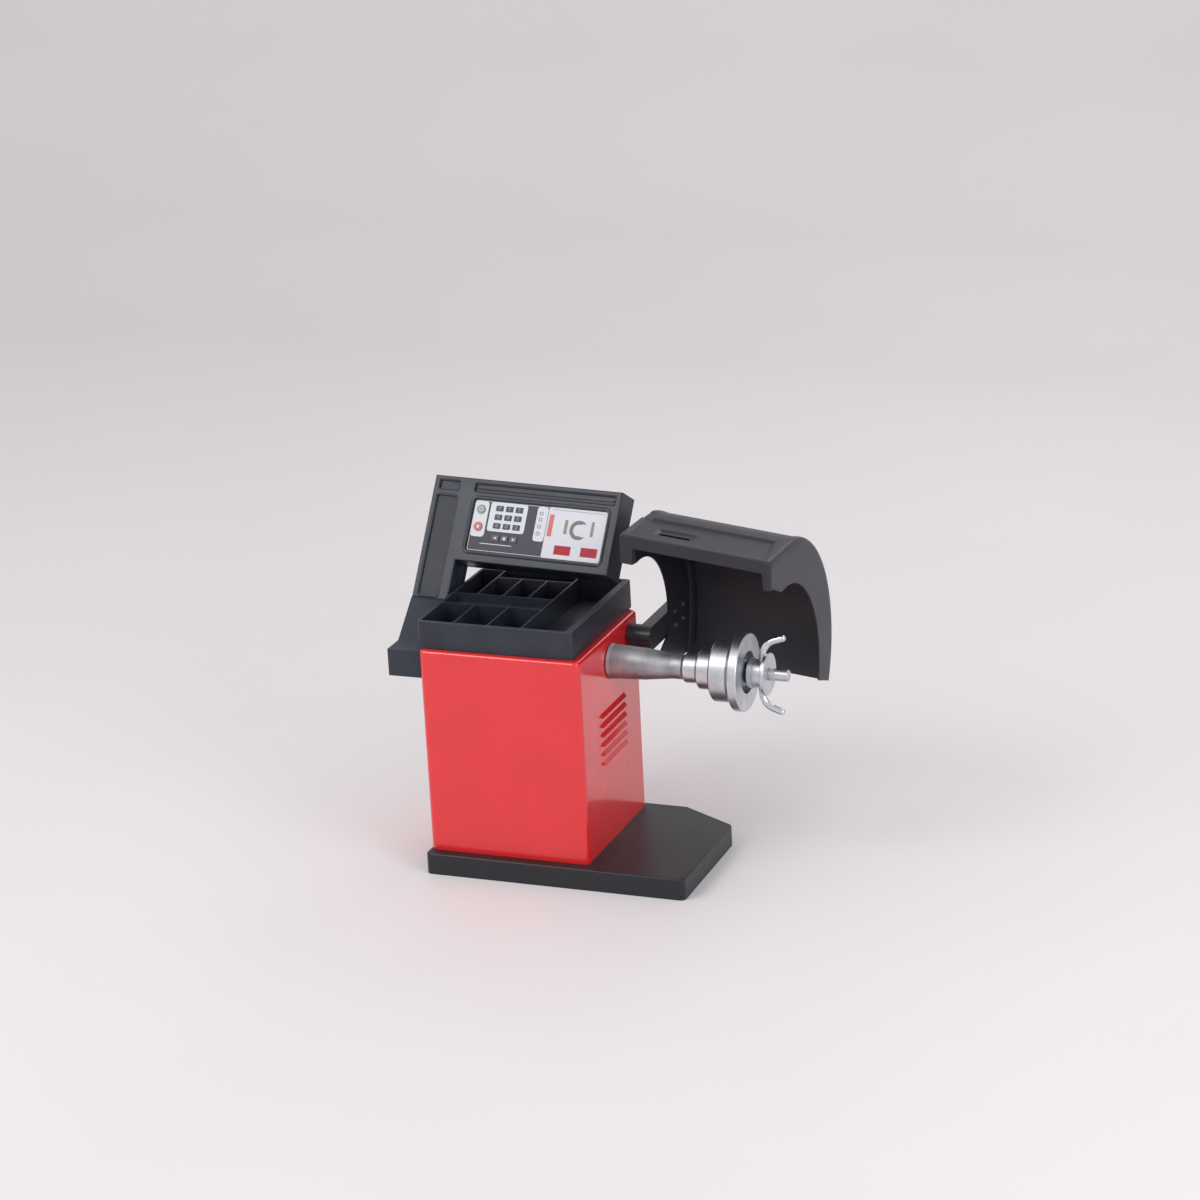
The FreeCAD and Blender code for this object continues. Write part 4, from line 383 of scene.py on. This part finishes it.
rocker_red = moulded_plastic("red_rocker_plastic", "#B01C1F", "#BB2226", 0.25, 3.0, 0.00004)
wear(rocker_red, "power_rocker")
bush_bronze = plated_steel("sintered_bronze", "#A07A44", 0.4, 2.0)
wear(bush_bronze, "pivot_bushes")


# ---- Wheel guard -----------------------------------------------------------------------------
# One vacuum-formed black plastic shell: a barred front lip with two tabs, a sunken
# roof with a finger slot, a bead along the top of its round back, and two end walls
# with round mouths. Four screws hold it to a steel arm that swings on a cross tube.
GUARD_X0, GUARD_X1, GUARD_DROOP = 0.195, 0.705, 0.061
LIP_Y, LIP_Z, LIP_DEPTH, LIP_DROP, TAB_DROP = -0.066, 1.094, 0.024, 0.040, 0.096
ARC_Y, ARC_Z, ARC_R, ARC_END = 0.162, 0.682, 0.405, math.radians(-29.0)
GUARD_WALL, END_WALL = 0.004, 0.005
MOUTH_Y, MOUTH_Z, MOUTH_R = (0.099, 0.079), (0.762, 0.627), (0.252, 0.335)
MOUTH_END, TOE = (math.radians(-20.0), math.radians(-16.8)), ((0.175, 0.596), (0.400, 0.530))
END_ROUND = (0.008, 0.016)
SLOT_X, SLOT_Y, SLOT_LENGTH, SLOT_WIDTH = 0.347, 0.042, 0.108, 0.028
SLOT_CUT_LOW, SLOT_CUT_HIGH = 1.09, 1.18
# Edges of the sunken roof and the bead: places along the section, as guard_line counts them.
ROOF_FRONT, ROOF_BACK, BEAD_BACK, BACK_FOOT = (1.10, 1.16), (1.92, 1.98), (2.06, 2.10), (2.93, 2.96)
TAB_INNER, TAB_OUTER = (0.2385, 0.2415), (0.6775, 0.6805)
SUNK_DEPTH, BEAD_DEPTH, BACK_DEPTH, DISH_DEPTH, LIP_ROUND = 0.008, 0.006, 0.003, 0.006, 0.004


def ease(value, start, end):
    """A smooth step from 0 at start to 1 at end: the cubic 3t^2 - 2t^3."""
    t = np.clip((value - start) / (end - start), 0.0, 1.0)
    return t * t * (3.0 - 2.0 * t)


def closed_grid(name, outer, inner, smooth_angle=35.0):
    """A shell from two grids of points, joined round all four borders."""
    rows, columns = outer.shape[:2]
    index = np.arange(rows * columns).reshape(rows, columns)
    a, b, c, d = index[:-1, :-1], index[:-1, 1:], index[1:, 1:], index[1:, :-1]
    far = rows * columns
    faces = [np.stack([a, b, c, d], -1).reshape(-1, 4),
             np.stack([a, d, c, b], -1).reshape(-1, 4) + far]
    border = np.concatenate([index[0, :], index[1:, -1], index[-1, -2::-1], index[-2:0:-1, 0]])
    after = np.roll(border, -1)
    faces.append(np.stack([after, border, border + far, after + far], -1))
    points = np.concatenate([outer.reshape(-1, 3), inner.reshape(-1, 3)])
    return mesh_piece(name, points, np.concatenate(faces).tolist(), smooth_angle)


def guard_line(u, drop, inset, front_inset):
    """The guard's section at u: 0 to 1 up the front bar, 1 to 2 along the roof, 2 to 3 the arc.

    The line lies inside the real outline by the inset, and by another inset on the front face.
    """
    front, roof = u < 1.0, (u >= 1.0) & (u < 2.0)
    climb, run = np.clip(u, 0.0, 1.0), np.clip(u - 1.0, 0.0, 1.0)
    turn = math.pi / 2 + (ARC_END - math.pi / 2) * np.clip(u - 2.0, 0.0, 1.0)
    front_y = LIP_Y + front_inset
    roof_y = front_y + (ARC_Y - front_y) * run
    roof_z = LIP_Z + (ARC_Z + ARC_R - LIP_Z) * (roof_y - LIP_Y) / (ARC_Y - LIP_Y) - inset
    front_z = LIP_Z - drop + (drop - inset) * climb
    y = np.where(front, front_y, np.where(roof, roof_y, ARC_Y + (ARC_R - inset) * np.cos(turn)))
    z = np.where(front, front_z, np.where(roof, roof_z, ARC_Z + (ARC_R - inset) * np.sin(turn)))
    return y, z


def mouth_line(u, end):
    """An end wall's free edge at u: up from the tab's foot, round the mouth, then to the toe."""
    y, z, r = MOUTH_Y[end], MOUTH_Z[end], MOUTH_R[end]
    first, last = math.acos(-0.1), MOUTH_END[end]
    angle = first + (last - first) * np.clip((u - 1.0) / 1.8, 0.0, 1.0)
    slide = np.clip((u - 2.8) / 0.2, 0.0, 1.0)
    foot_y = LIP_Y + LIP_DEPTH + 0.004
    foot_z = LIP_Z - TAB_DROP + (GUARD_DROOP if end == 0 else 0.0)
    climb = np.clip(u, 0.0, 1.0)
    line_y = foot_y + (y + r * math.cos(first) - foot_y) * climb
    line_z = foot_z + (z + r * math.sin(first) - foot_z) * climb
    curve_y, curve_z = y + r * np.cos(angle), z + r * np.sin(angle)
    curve_y = curve_y + (TOE[end][0] - curve_y) * slide
    curve_z = curve_z + (TOE[end][1] - curve_z) * slide
    return np.where(u < 1.0, line_y, curve_y), np.where(u < 1.0, line_z, curve_z)


def stations(spans):
    """Places along a line from (end, count) spans, each evenly divided, from the first pair on."""
    places = [np.array([spans[0][0]])]
    for (start, _), (end, number) in zip(spans[:-1], spans[1:]):
        places.append(np.linspace(start, end, number + 1)[1:])
    return np.concatenate(places)


u = stations([(0.0, 0), (0.9, 7), (1.0, 4), (1.03, 3), (ROOF_FRONT[0], 3), (ROOF_FRONT[1], 5),
              (ROOF_BACK[0], 42), (ROOF_BACK[1], 5), (2.0, 2), (BEAD_BACK[0], 5),
              (BEAD_BACK[1], 6), (2.8, 42), (3.0, 14)])[:, None]
x = stations([(GUARD_X0, 0), (0.203, 5), (0.224, 5), (0.236, 6), (TAB_INNER[0], 2),
              (TAB_INNER[1], 4), (0.262, 7), (0.655, 56), (0.668, 5), (TAB_OUTER[0], 5),
              (TAB_OUTER[1], 4), (0.689, 5), (GUARD_X1, 8)])[None, :]
drop = TAB_DROP + (LIP_DROP - TAB_DROP) * (ease(x, *TAB_INNER) * (1.0 - ease(x, *TAB_OUTER)))
round_0, round_1 = END_ROUND


def end_inset(x, first, last, r0, r1):
    """How far a quarter round draws the line in: r - sqrt(r^2 - (r - d)^2) at d from each end."""
    d0, d1 = np.clip(x - first, 0.0, r0), np.clip(last - x, 0.0, r1)
    return (r0 - np.sqrt(np.maximum(r0 ** 2 - (r0 - d0) ** 2, 0.0))
            + r1 - np.sqrt(np.maximum(r1 ** 2 - (r1 - d1) ** 2, 0.0)))


rough_y, _ = guard_line(u, drop, 0.0, 0.0)
sunk = (SUNK_DEPTH * ease(u, *ROOF_FRONT) * (1.0 - ease(u, *ROOF_BACK)) * ease(x, 0.200, 0.212)
        * (1.0 - ease(x + 0.03 * (u - 1.0), 0.672, 0.688)))
bead_end = (BEAD_DEPTH * ease(u, *ROOF_BACK) * (1.0 - ease(u, *BEAD_BACK))
            * (1.0 - ease(x, 0.226, 0.240)))
behind = (BACK_DEPTH * ease(u, *BEAD_BACK) * (1.0 - ease(u, *BACK_FOOT)) * ease(x, 0.212, 0.224)
          * (1.0 - ease(x, 0.668, 0.680)))
dish = (DISH_DEPTH * ease(rough_y, 0.022, 0.030) * (1.0 - ease(rough_y, 0.076, 0.086))
        * ease(u, 1.0, 1.01) * ease(x, 0.281, 0.291) * (1.0 - ease(x, 0.405, 0.415)) * (u < 2.0))
inset = sunk + bead_end + behind + dish
lip_round = LIP_ROUND * (1.0 - ease(np.abs(u - 1.0), 0.0, 0.06)) ** 2
outer_end = end_inset(x, GUARD_X0, GUARD_X1, round_0, round_1)
outer_y, outer_z = guard_line(u, drop, inset + lip_round + outer_end, lip_round + outer_end)
x_in = (GUARD_X0 + END_WALL
        + (x - GUARD_X0) * (GUARD_X1 - GUARD_X0 - 2 * END_WALL) / (GUARD_X1 - GUARD_X0))
inner_end = end_inset(x_in, GUARD_X0 + END_WALL, GUARD_X1 - END_WALL,
                      round_0 - GUARD_WALL, round_1 - GUARD_WALL)
inner_y, inner_z = guard_line(u, drop, inset + GUARD_WALL + inner_end, LIP_DEPTH)
droop = GUARD_DROOP * (GUARD_X1 - x) / (GUARD_X1 - GUARD_X0)
droop_in = GUARD_DROOP * (GUARD_X1 - x_in) / (GUARD_X1 - GUARD_X0)
skin = [np.stack(np.broadcast_arrays(x, outer_y, outer_z + droop), -1),
        np.stack(np.broadcast_arrays(x_in, inner_y, inner_z + droop_in), -1)]
layers = []
for layer, wall in zip(skin, (0.0, END_WALL)):
    left_x, right_x = GUARD_X0 + wall, GUARD_X1 - wall
    share = np.linspace(0.0, 1.0, 9)[None, :-1]
    walls = []
    for end, (edge, wall_x) in enumerate(((layer[:, :1], left_x), (layer[:, -1:], right_x))):
        mouth_y, mouth_z = mouth_line(u, end)
        y = mouth_y + (edge[..., 1] - mouth_y) * share
        z = mouth_z + (edge[..., 2] - mouth_z) * share
        walls.append(np.stack(np.broadcast_arrays(np.array([[wall_x]]), y, z), -1))
    layers.append(np.concatenate([walls[0], layer, walls[1][:, ::-1]], 1))


def face_outwards(piece, merge=1e-6):
    """Merge doubled points and turn a closed shell's faces outwards."""
    shell = bmesh.new()
    shell.from_mesh(piece.data)
    bmesh.ops.remove_doubles(shell, verts=shell.verts, dist=merge)
    bmesh.ops.dissolve_degenerate(shell, edges=shell.edges, dist=merge)
    bmesh.ops.recalc_face_normals(shell, faces=shell.faces)
    shell.to_mesh(piece.data)
    shell.free()
    piece.data.shade_smooth()
    piece.data.set_sharp_from_angle(angle=math.radians(35.0))


guard = closed_grid("guard_shell", layers[0], layers[1])
face_outwards(guard)
cutter_outline = [(SLOT_X + sx * (SLOT_LENGTH - SLOT_WIDTH) / 2 + SLOT_WIDTH / 2 * math.cos(a),
                   SLOT_Y + SLOT_WIDTH / 2 * math.sin(a))
                  for sx, start in ((1, -90), (-1, 90))
                  for a in np.radians(np.linspace(start, start + 180, 13))]
count = len(cutter_outline)
cutter_points = [(*place, z) for z in (SLOT_CUT_LOW, SLOT_CUT_HIGH) for place in cutter_outline]
cutter_caps = [tuple(range(count))[::-1], tuple(range(count, 2 * count))]
cutter_sides = [(i, (i + 1) % count, (i + 1) % count + count, i + count) for i in range(count)]
cutter = mesh_piece("slot_cutter", cutter_points, cutter_caps + cutter_sides)
cut = guard.modifiers.new("slot", "BOOLEAN")
cut.operation, cut.solver, cut.object = "DIFFERENCE", "FAST", cutter
bpy.context.view_layer.update()
cut_guard = guard.evaluated_get(bpy.context.evaluated_depsgraph_get())
guard.data = bpy.data.meshes.new_from_object(cut_guard)
guard.modifiers.clear()
bpy.data.objects.remove(cutter)
face_outwards(guard)
# Vacuum-formed sheet: a satin near-black with only a faint grain, smoother than a moulded part.
guard_plastic = moulded_plastic("satin_black_vacuum_formed_abs", "#1E1F28", "#24252F", 0.46, 4.0,
                                0.0002)
guard.data.materials.clear()
guard.data.materials.append(guard_plastic)
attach(guard, "guard")
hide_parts("hood_shell")
arm_black = painted_steel("black_arm_paint", "#1E1F24", "#26272C", 0.4, 0.2, 9.0, 0.0004)
wear(arm_black, "hood_arm")


# ---- Console shells, foot and column panel ---------------------------------------------------
# Two moulded black halves screwed together on a steel post, standing in a foot
# bolted to the cabinet's side. The front half has a bezel, a slot and a panel.
# Grained ABS: a cool blue-black, broken up by its leather-like grain.
console_abs = moulded_plastic("console_black_abs", "#1F2430", "#282E3B", 0.42, 5.0, 0.0006)
softened("console_front_moulding", "console_front_shell", "machine", console_abs,
         0.0012)
softened("console_rear_moulding", "console_rear_shell", "machine", console_abs,
         0.0012)
softened("console_foot_moulding", "console_foot", "machine", console_abs, 0.0015)
panel_abs = moulded_plastic("fine_grained_panel_abs", "#161B26", "#1E2430", 0.5, 3.5, 0.0003)
wear(panel_abs, "column_panel")


# ---- Fascia, keys and lenses --------------------------------------------------------------------
# A flat panel with a printed film, nine rubber keys, five moulded keys, smoked
# windows over the read-outs and a dark drawing of a wheel's section.
HEAD = (Matrix.Translation((0.084, 0.0955, 0.952)) @ Matrix.Rotation(math.radians(-5.0), 4, "Z")
        @ Matrix.Rotation(math.radians(-31.5), 4, "X"))
FILM_FRONT, FILM_BACK = 3.7, 3.95
MARK_FRONT, MARK_BACK = -0.15, 0.02
MM = 0.001


def smooth_colour(name, code, roughness, coat, painted_glow=0.0):
    """Glossy moulded or printed surface: its colour, faint handling smears in its gloss, and an
    optional painted glow in its own colour.
    """
    material, tree, shader = new_material(name)
    place = add(tree, "ShaderNodeTexCoord").outputs["Object"]
    smear = add(tree, "ShaderNodeTexNoise",
                {"Vector": place, "Scale": 60.0, "Detail": 4.0, "Distortion": 0.6})
    shade = add(tree, "ShaderNodeMapRange",
                {"Value": smear.outputs["Fac"], "To Min": 0.93, "To Max": 1.04})
    colour = add(tree, "ShaderNodeVectorMath", {0: tone(code)[:3], "Scale": shade.outputs[0]},
                 operation="SCALE")
    rough = add(tree, "ShaderNodeMapRange",
                {"Value": smear.outputs["Fac"], "To Min": roughness - 0.08,
                 "To Max": roughness + 0.1})
    tree.links.new(colour.outputs[0], shader.inputs["Base Color"])
    tree.links.new(rough.outputs[0], shader.inputs["Roughness"])
    shader.inputs["Coat Weight"].default_value = coat
    shader.inputs["Specular IOR Level"].default_value = 0.25
    # A faint emission in the surface's own colour: a painted glow, so the part shines though it is
    # no lamp.
    if painted_glow:
        shader.inputs["Emission Color"].default_value = tone(code)
        shader.inputs["Emission Strength"].default_value = painted_glow
    return material


def round_rectangle(x, z, width, height, r, steps=6):
    """Corner arcs of a rectangle about (x, z), as one closed line of points."""
    r = min(r, width / 2 - 0.01, height / 2 - 0.01)
    turn = np.linspace(0.0, math.pi / 2, steps)
    line = []
    for k, (sx, sz) in enumerate(((1, 1), (-1, 1), (-1, -1), (1, -1))):
        angle = turn + k * math.pi / 2
        line.append(np.stack([x + sx * (width / 2 - r) + r * np.cos(angle),
                              z + sz * (height / 2 - r) + r * np.sin(angle)], 1))
    return np.concatenate(line)


def ring(x, z, r, steps=40):
    """A circle about (x, z) as a closed line of points."""
    angle = np.arange(steps) * 2 * math.pi / steps
    return np.stack([x + r * np.cos(angle), z + r * np.sin(angle)], 1)


def film(name, outlines, front, back, material, body):
    """A thin flat piece on the head's face, from closed lines in it: inner ones are holes."""
    curve = bpy.data.curves.new(name, "CURVE")
    curve.dimensions, curve.fill_mode, curve.extrude = "2D", "BOTH", (back - front) / 2 * MM
    for line in outlines:
        spline = curve.splines.new("POLY")
        spline.points.add(len(line) - 1)
        flat = np.zeros((len(line), 4))
        flat[:, :2], flat[:, 3] = np.asarray(line) * MM, 1.0
        spline.points.foreach_set("co", flat.ravel())
        spline.use_cyclic_u = True
    flat_piece = bpy.data.objects.new(name + "_line", curve)
    mesh = bpy.data.meshes.new_from_object(flat_piece)
    bpy.data.objects.remove(flat_piece)
    mesh.name = name
    mesh.transform(Matrix.Translation((0, (front + back) / 2 * MM, 0))
                   @ Matrix.Rotation(math.radians(90), 4, "X"))
    mesh.transform(HEAD)
    mesh.materials.clear()
    mesh.materials.append(material)
    piece = bpy.data.objects.new(name, mesh)
    scene.collection.objects.link(piece)
    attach(piece, body)
    return piece


def frame_ring(name, x, z, loops, material):
    """A raised frame on the head: (width, height, corner, depth) loops joined in a closed band."""
    lines = [round_rectangle(x, z, width, height, r) for width, height, r, _ in loops]
    grid = np.stack([np.stack([line[:, 0], np.full(len(line), loop[3]), line[:, 1]], 1)
                     for line, loop in zip(lines, loops)]) * MM
    rows, columns = grid.shape[:2]
    index = np.arange(rows * columns).reshape(rows, columns)
    right, below = np.roll(index, -1, 1), np.roll(index, -1, 0)
    faces = np.stack([index, right, np.roll(below, -1, 1), below], -1).reshape(-1, 4)
    points = np.c_[grid.reshape(-1, 3), np.ones(rows * columns)] @ np.array(HEAD).T
    piece = mesh_piece(name, points[:, :3], faces.tolist())
    face_outwards(piece)
    piece.data.materials.append(material)
    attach(piece, "machine")
    return piece


def raised_loops(width, height, band, corner, rise):
    """Six loops of a frame round an opening: up its outer slope, over its crown and back down."""
    return [(width, height, corner + band, 0.4),
            (width + 2 * band, height + 2 * band, corner + 2 * band, 0.4),
            (width + 2 * band - 3.0, height + 2 * band - 3.0, corner + 2 * band - 1.5, -0.7 * rise),
            (width + 2 * band - 6.0, height + 2 * band - 6.0, corner + 2 * band - 3.0, -rise),
            (width + 3.0, height + 3.0, corner + band + 1.5, -rise),
            (width + 0.8, height + 0.8, corner + band + 0.4, -0.6 * rise)]


frame_ring("fascia_bezel", -286.0, 126.0, raised_loops(499.0, 181.0, 11.0, 2.0, 3.5), console_abs)
frame_ring("column_bezel", -640.5, 44.0, raised_loops(74.0, 347.0, 7.0, 2.0, 2.5), console_abs)
frame_ring("slot_bezel", -281.0, 254.0, raised_loops(522.0, 28.0, 4.5, 1.0, 2.0), console_abs)
frame_ring("recess_bezel", -640.0, 254.5, raised_loops(74.0, 31.0, 4.5, 1.0, 2.0), console_abs)

# Printed polyester film: flat clean colours with a soft gloss; rubber keys are duller.
fascia_dark = smooth_colour("printed_dark_film", "#2B2838", 0.42, 0.12)
wear(fascia_dark, "panel_fascia")
film_white = smooth_colour("printed_white_film", "#CDCED5", 0.4, 0.15)
film_grey = smooth_colour("printed_grey_ink", "#8A8F9B", 0.4, 0.2)
key_rubber = moulded_plastic("dark_key_rubber", "#343A4B", "#3D4356", 0.55, 3.0, 0.0001)
wear(key_rubber, "keypad_mat")
# The smoked windows get a faint painted glow in their own red over their whole face; they are no
# lamp.
window_red = smooth_colour("smoked_red_window_painted_glow", "#A3122A", 0.4, 0.0, 0.06)
wear(window_red, "led_windows")
# The tall left bar is smoked red and the two thin ones smoked brown: the colour changes by
# place along the panel.
bar_lens, tree, shader = new_material("smoked_bar_lens")
place = add(tree, "ShaderNodeTexCoord").outputs["Object"]
along = add(tree, "ShaderNodeSeparateXYZ", {0: place})
side = add(tree, "ShaderNodeMapRange",
           {"Value": along.outputs[0], "From Min": -0.13, "From Max": -0.12})
smear = add(tree, "ShaderNodeTexNoise", {"Vector": place, "Scale": 60.0, "Detail": 4.0})
rough = add(tree, "ShaderNodeMapRange",
            {"Value": smear.outputs["Fac"], "To Min": 0.2, "To Max": 0.36})
colour = add(tree, "ShaderNodeMix",
             {"Factor": side.outputs[0], "A": tone("#B52A33"), "B": tone("#6E5640")},
             data_type="RGBA")
tree.links.new(colour.outputs["Result"], shader.inputs["Base Color"])
tree.links.new(rough.outputs[0], shader.inputs["Roughness"])
wear(bar_lens, "level_bars")
section_dark = smooth_colour("dark_drawing_lens", "#3C3E46", 0.3, 0.4)
wear(section_dark, "rim_diagram")
key_green = smooth_colour("grey_green_key", "#6D8378", 0.35, 0.3)
wear(key_green, "start_key")
key_red = smooth_colour("dull_red_key", "#B4454B", 0.35, 0.3)
wear(key_red, "stop_key")
key_dark = smooth_colour("dark_soft_key", "#45424F", 0.4, 0.3)
wear(key_dark, "arrow_key_left", "arrow_key_middle", "arrow_key_right")

START_X, START_Z, STOP_Z, BUTTON_RING_R = -504.0, 182.0, 122.0, 15.5
film("start_stop_print",
     [round_rectangle(START_X, 149.5, 52.0, 123.0, 12.0), ring(START_X, START_Z, BUTTON_RING_R),
      ring(START_X, STOP_Z, BUTTON_RING_R)], FILM_FRONT, FILM_BACK, film_white, "machine")
grid_places = [(x, z) for z in (190.0, 160.0, 130.0) for x in (-436.0, -399.5, -363.0)]
film("key_grid_print", [round_rectangle(-402.0, 161.0, 138.0, 101.0, 9.0)]
     + [round_rectangle(x, z, 27.0, 19.0, 1.5) for x, z in grid_places],
     FILM_FRONT, FILM_BACK, film_white, "machine")
film("read_out_print", [round_rectangle(-146.5, 126.0, 215.0, 174.0, 7.0)],
     FILM_FRONT, FILM_BACK, film_white, "machine")
film("symbol_tab_print", [round_rectangle(-276.0, 151.0, 40.0, 118.0, 10.0)],
     FILM_FRONT, FILM_BACK, film_white, "machine")
film("lower_line_print", [round_rectangle(-427.5, 66.0, 119.0, 2.4, 1.0)],
     FILM_FRONT, FILM_BACK, film_white, "machine")
film("edge_line_print", [round_rectangle(-286.0, 126.0, 489.0, 171.0, 6.0),
                         round_rectangle(-286.0, 126.0, 486.0, 168.0, 4.5)],
     FILM_FRONT + 0.15, FILM_BACK, film_white, "machine")
film("symbol_print", [line for z in (187.0, 166.0, 142.0, 118.0)
                      for line in (round_rectangle(-280.0, z, 14.0, 13.0, 3.0),
                                   ring(-280.0, z, 3.4, 20))],
     FILM_FRONT - 0.1, FILM_BACK - 0.1, film_grey, "machine")
film("top_line_print", [round_rectangle(-146.5, 205.0, 190.0, 2.0, 0.9)],
     FILM_FRONT - 0.1, FILM_BACK - 0.1, film_grey, "machine")
film("key_marks", [line for k, (x, z) in enumerate(grid_places)
                   for line in [round_rectangle(x, z + 3.0, 13.0 - 2.0 * (k % 3), 3.0, 1.2),
                                round_rectangle(x, z - 3.5, 7.0 + 2.5 * (k // 3), 2.2, 1.0)]],
     1.85, 2.02, film_grey, "machine")
film("start_mark", [ring(START_X, START_Z, 7.5, 32), ring(START_X, START_Z, 5.6, 32)],
     MARK_FRONT, MARK_BACK, film_white, "start_button")
film("stop_mark", [round_rectangle(START_X, STOP_Z, 10.0, 10.0, 1.5)],
     MARK_FRONT, MARK_BACK, film_white, "stop_button")
ARROW_Z = 88.0
for name, x, outline in (("left_mark", -432.0, [(4.0, 5.0), (-5.0, 0.0), (4.0, -5.0)]),
                         ("middle_mark", -398.0,
                          [(4.5, 4.5), (-4.5, 4.5), (-4.5, -4.5), (4.5, -4.5)]),
                         ("right_mark", -364.0, [(-4.0, 5.0), (-4.0, -5.0), (5.0, 0.0)])):
    film(name, [np.array(outline) + (x, ARROW_Z)], MARK_FRONT, MARK_BACK, film_white,
         name.replace("mark", "button"))
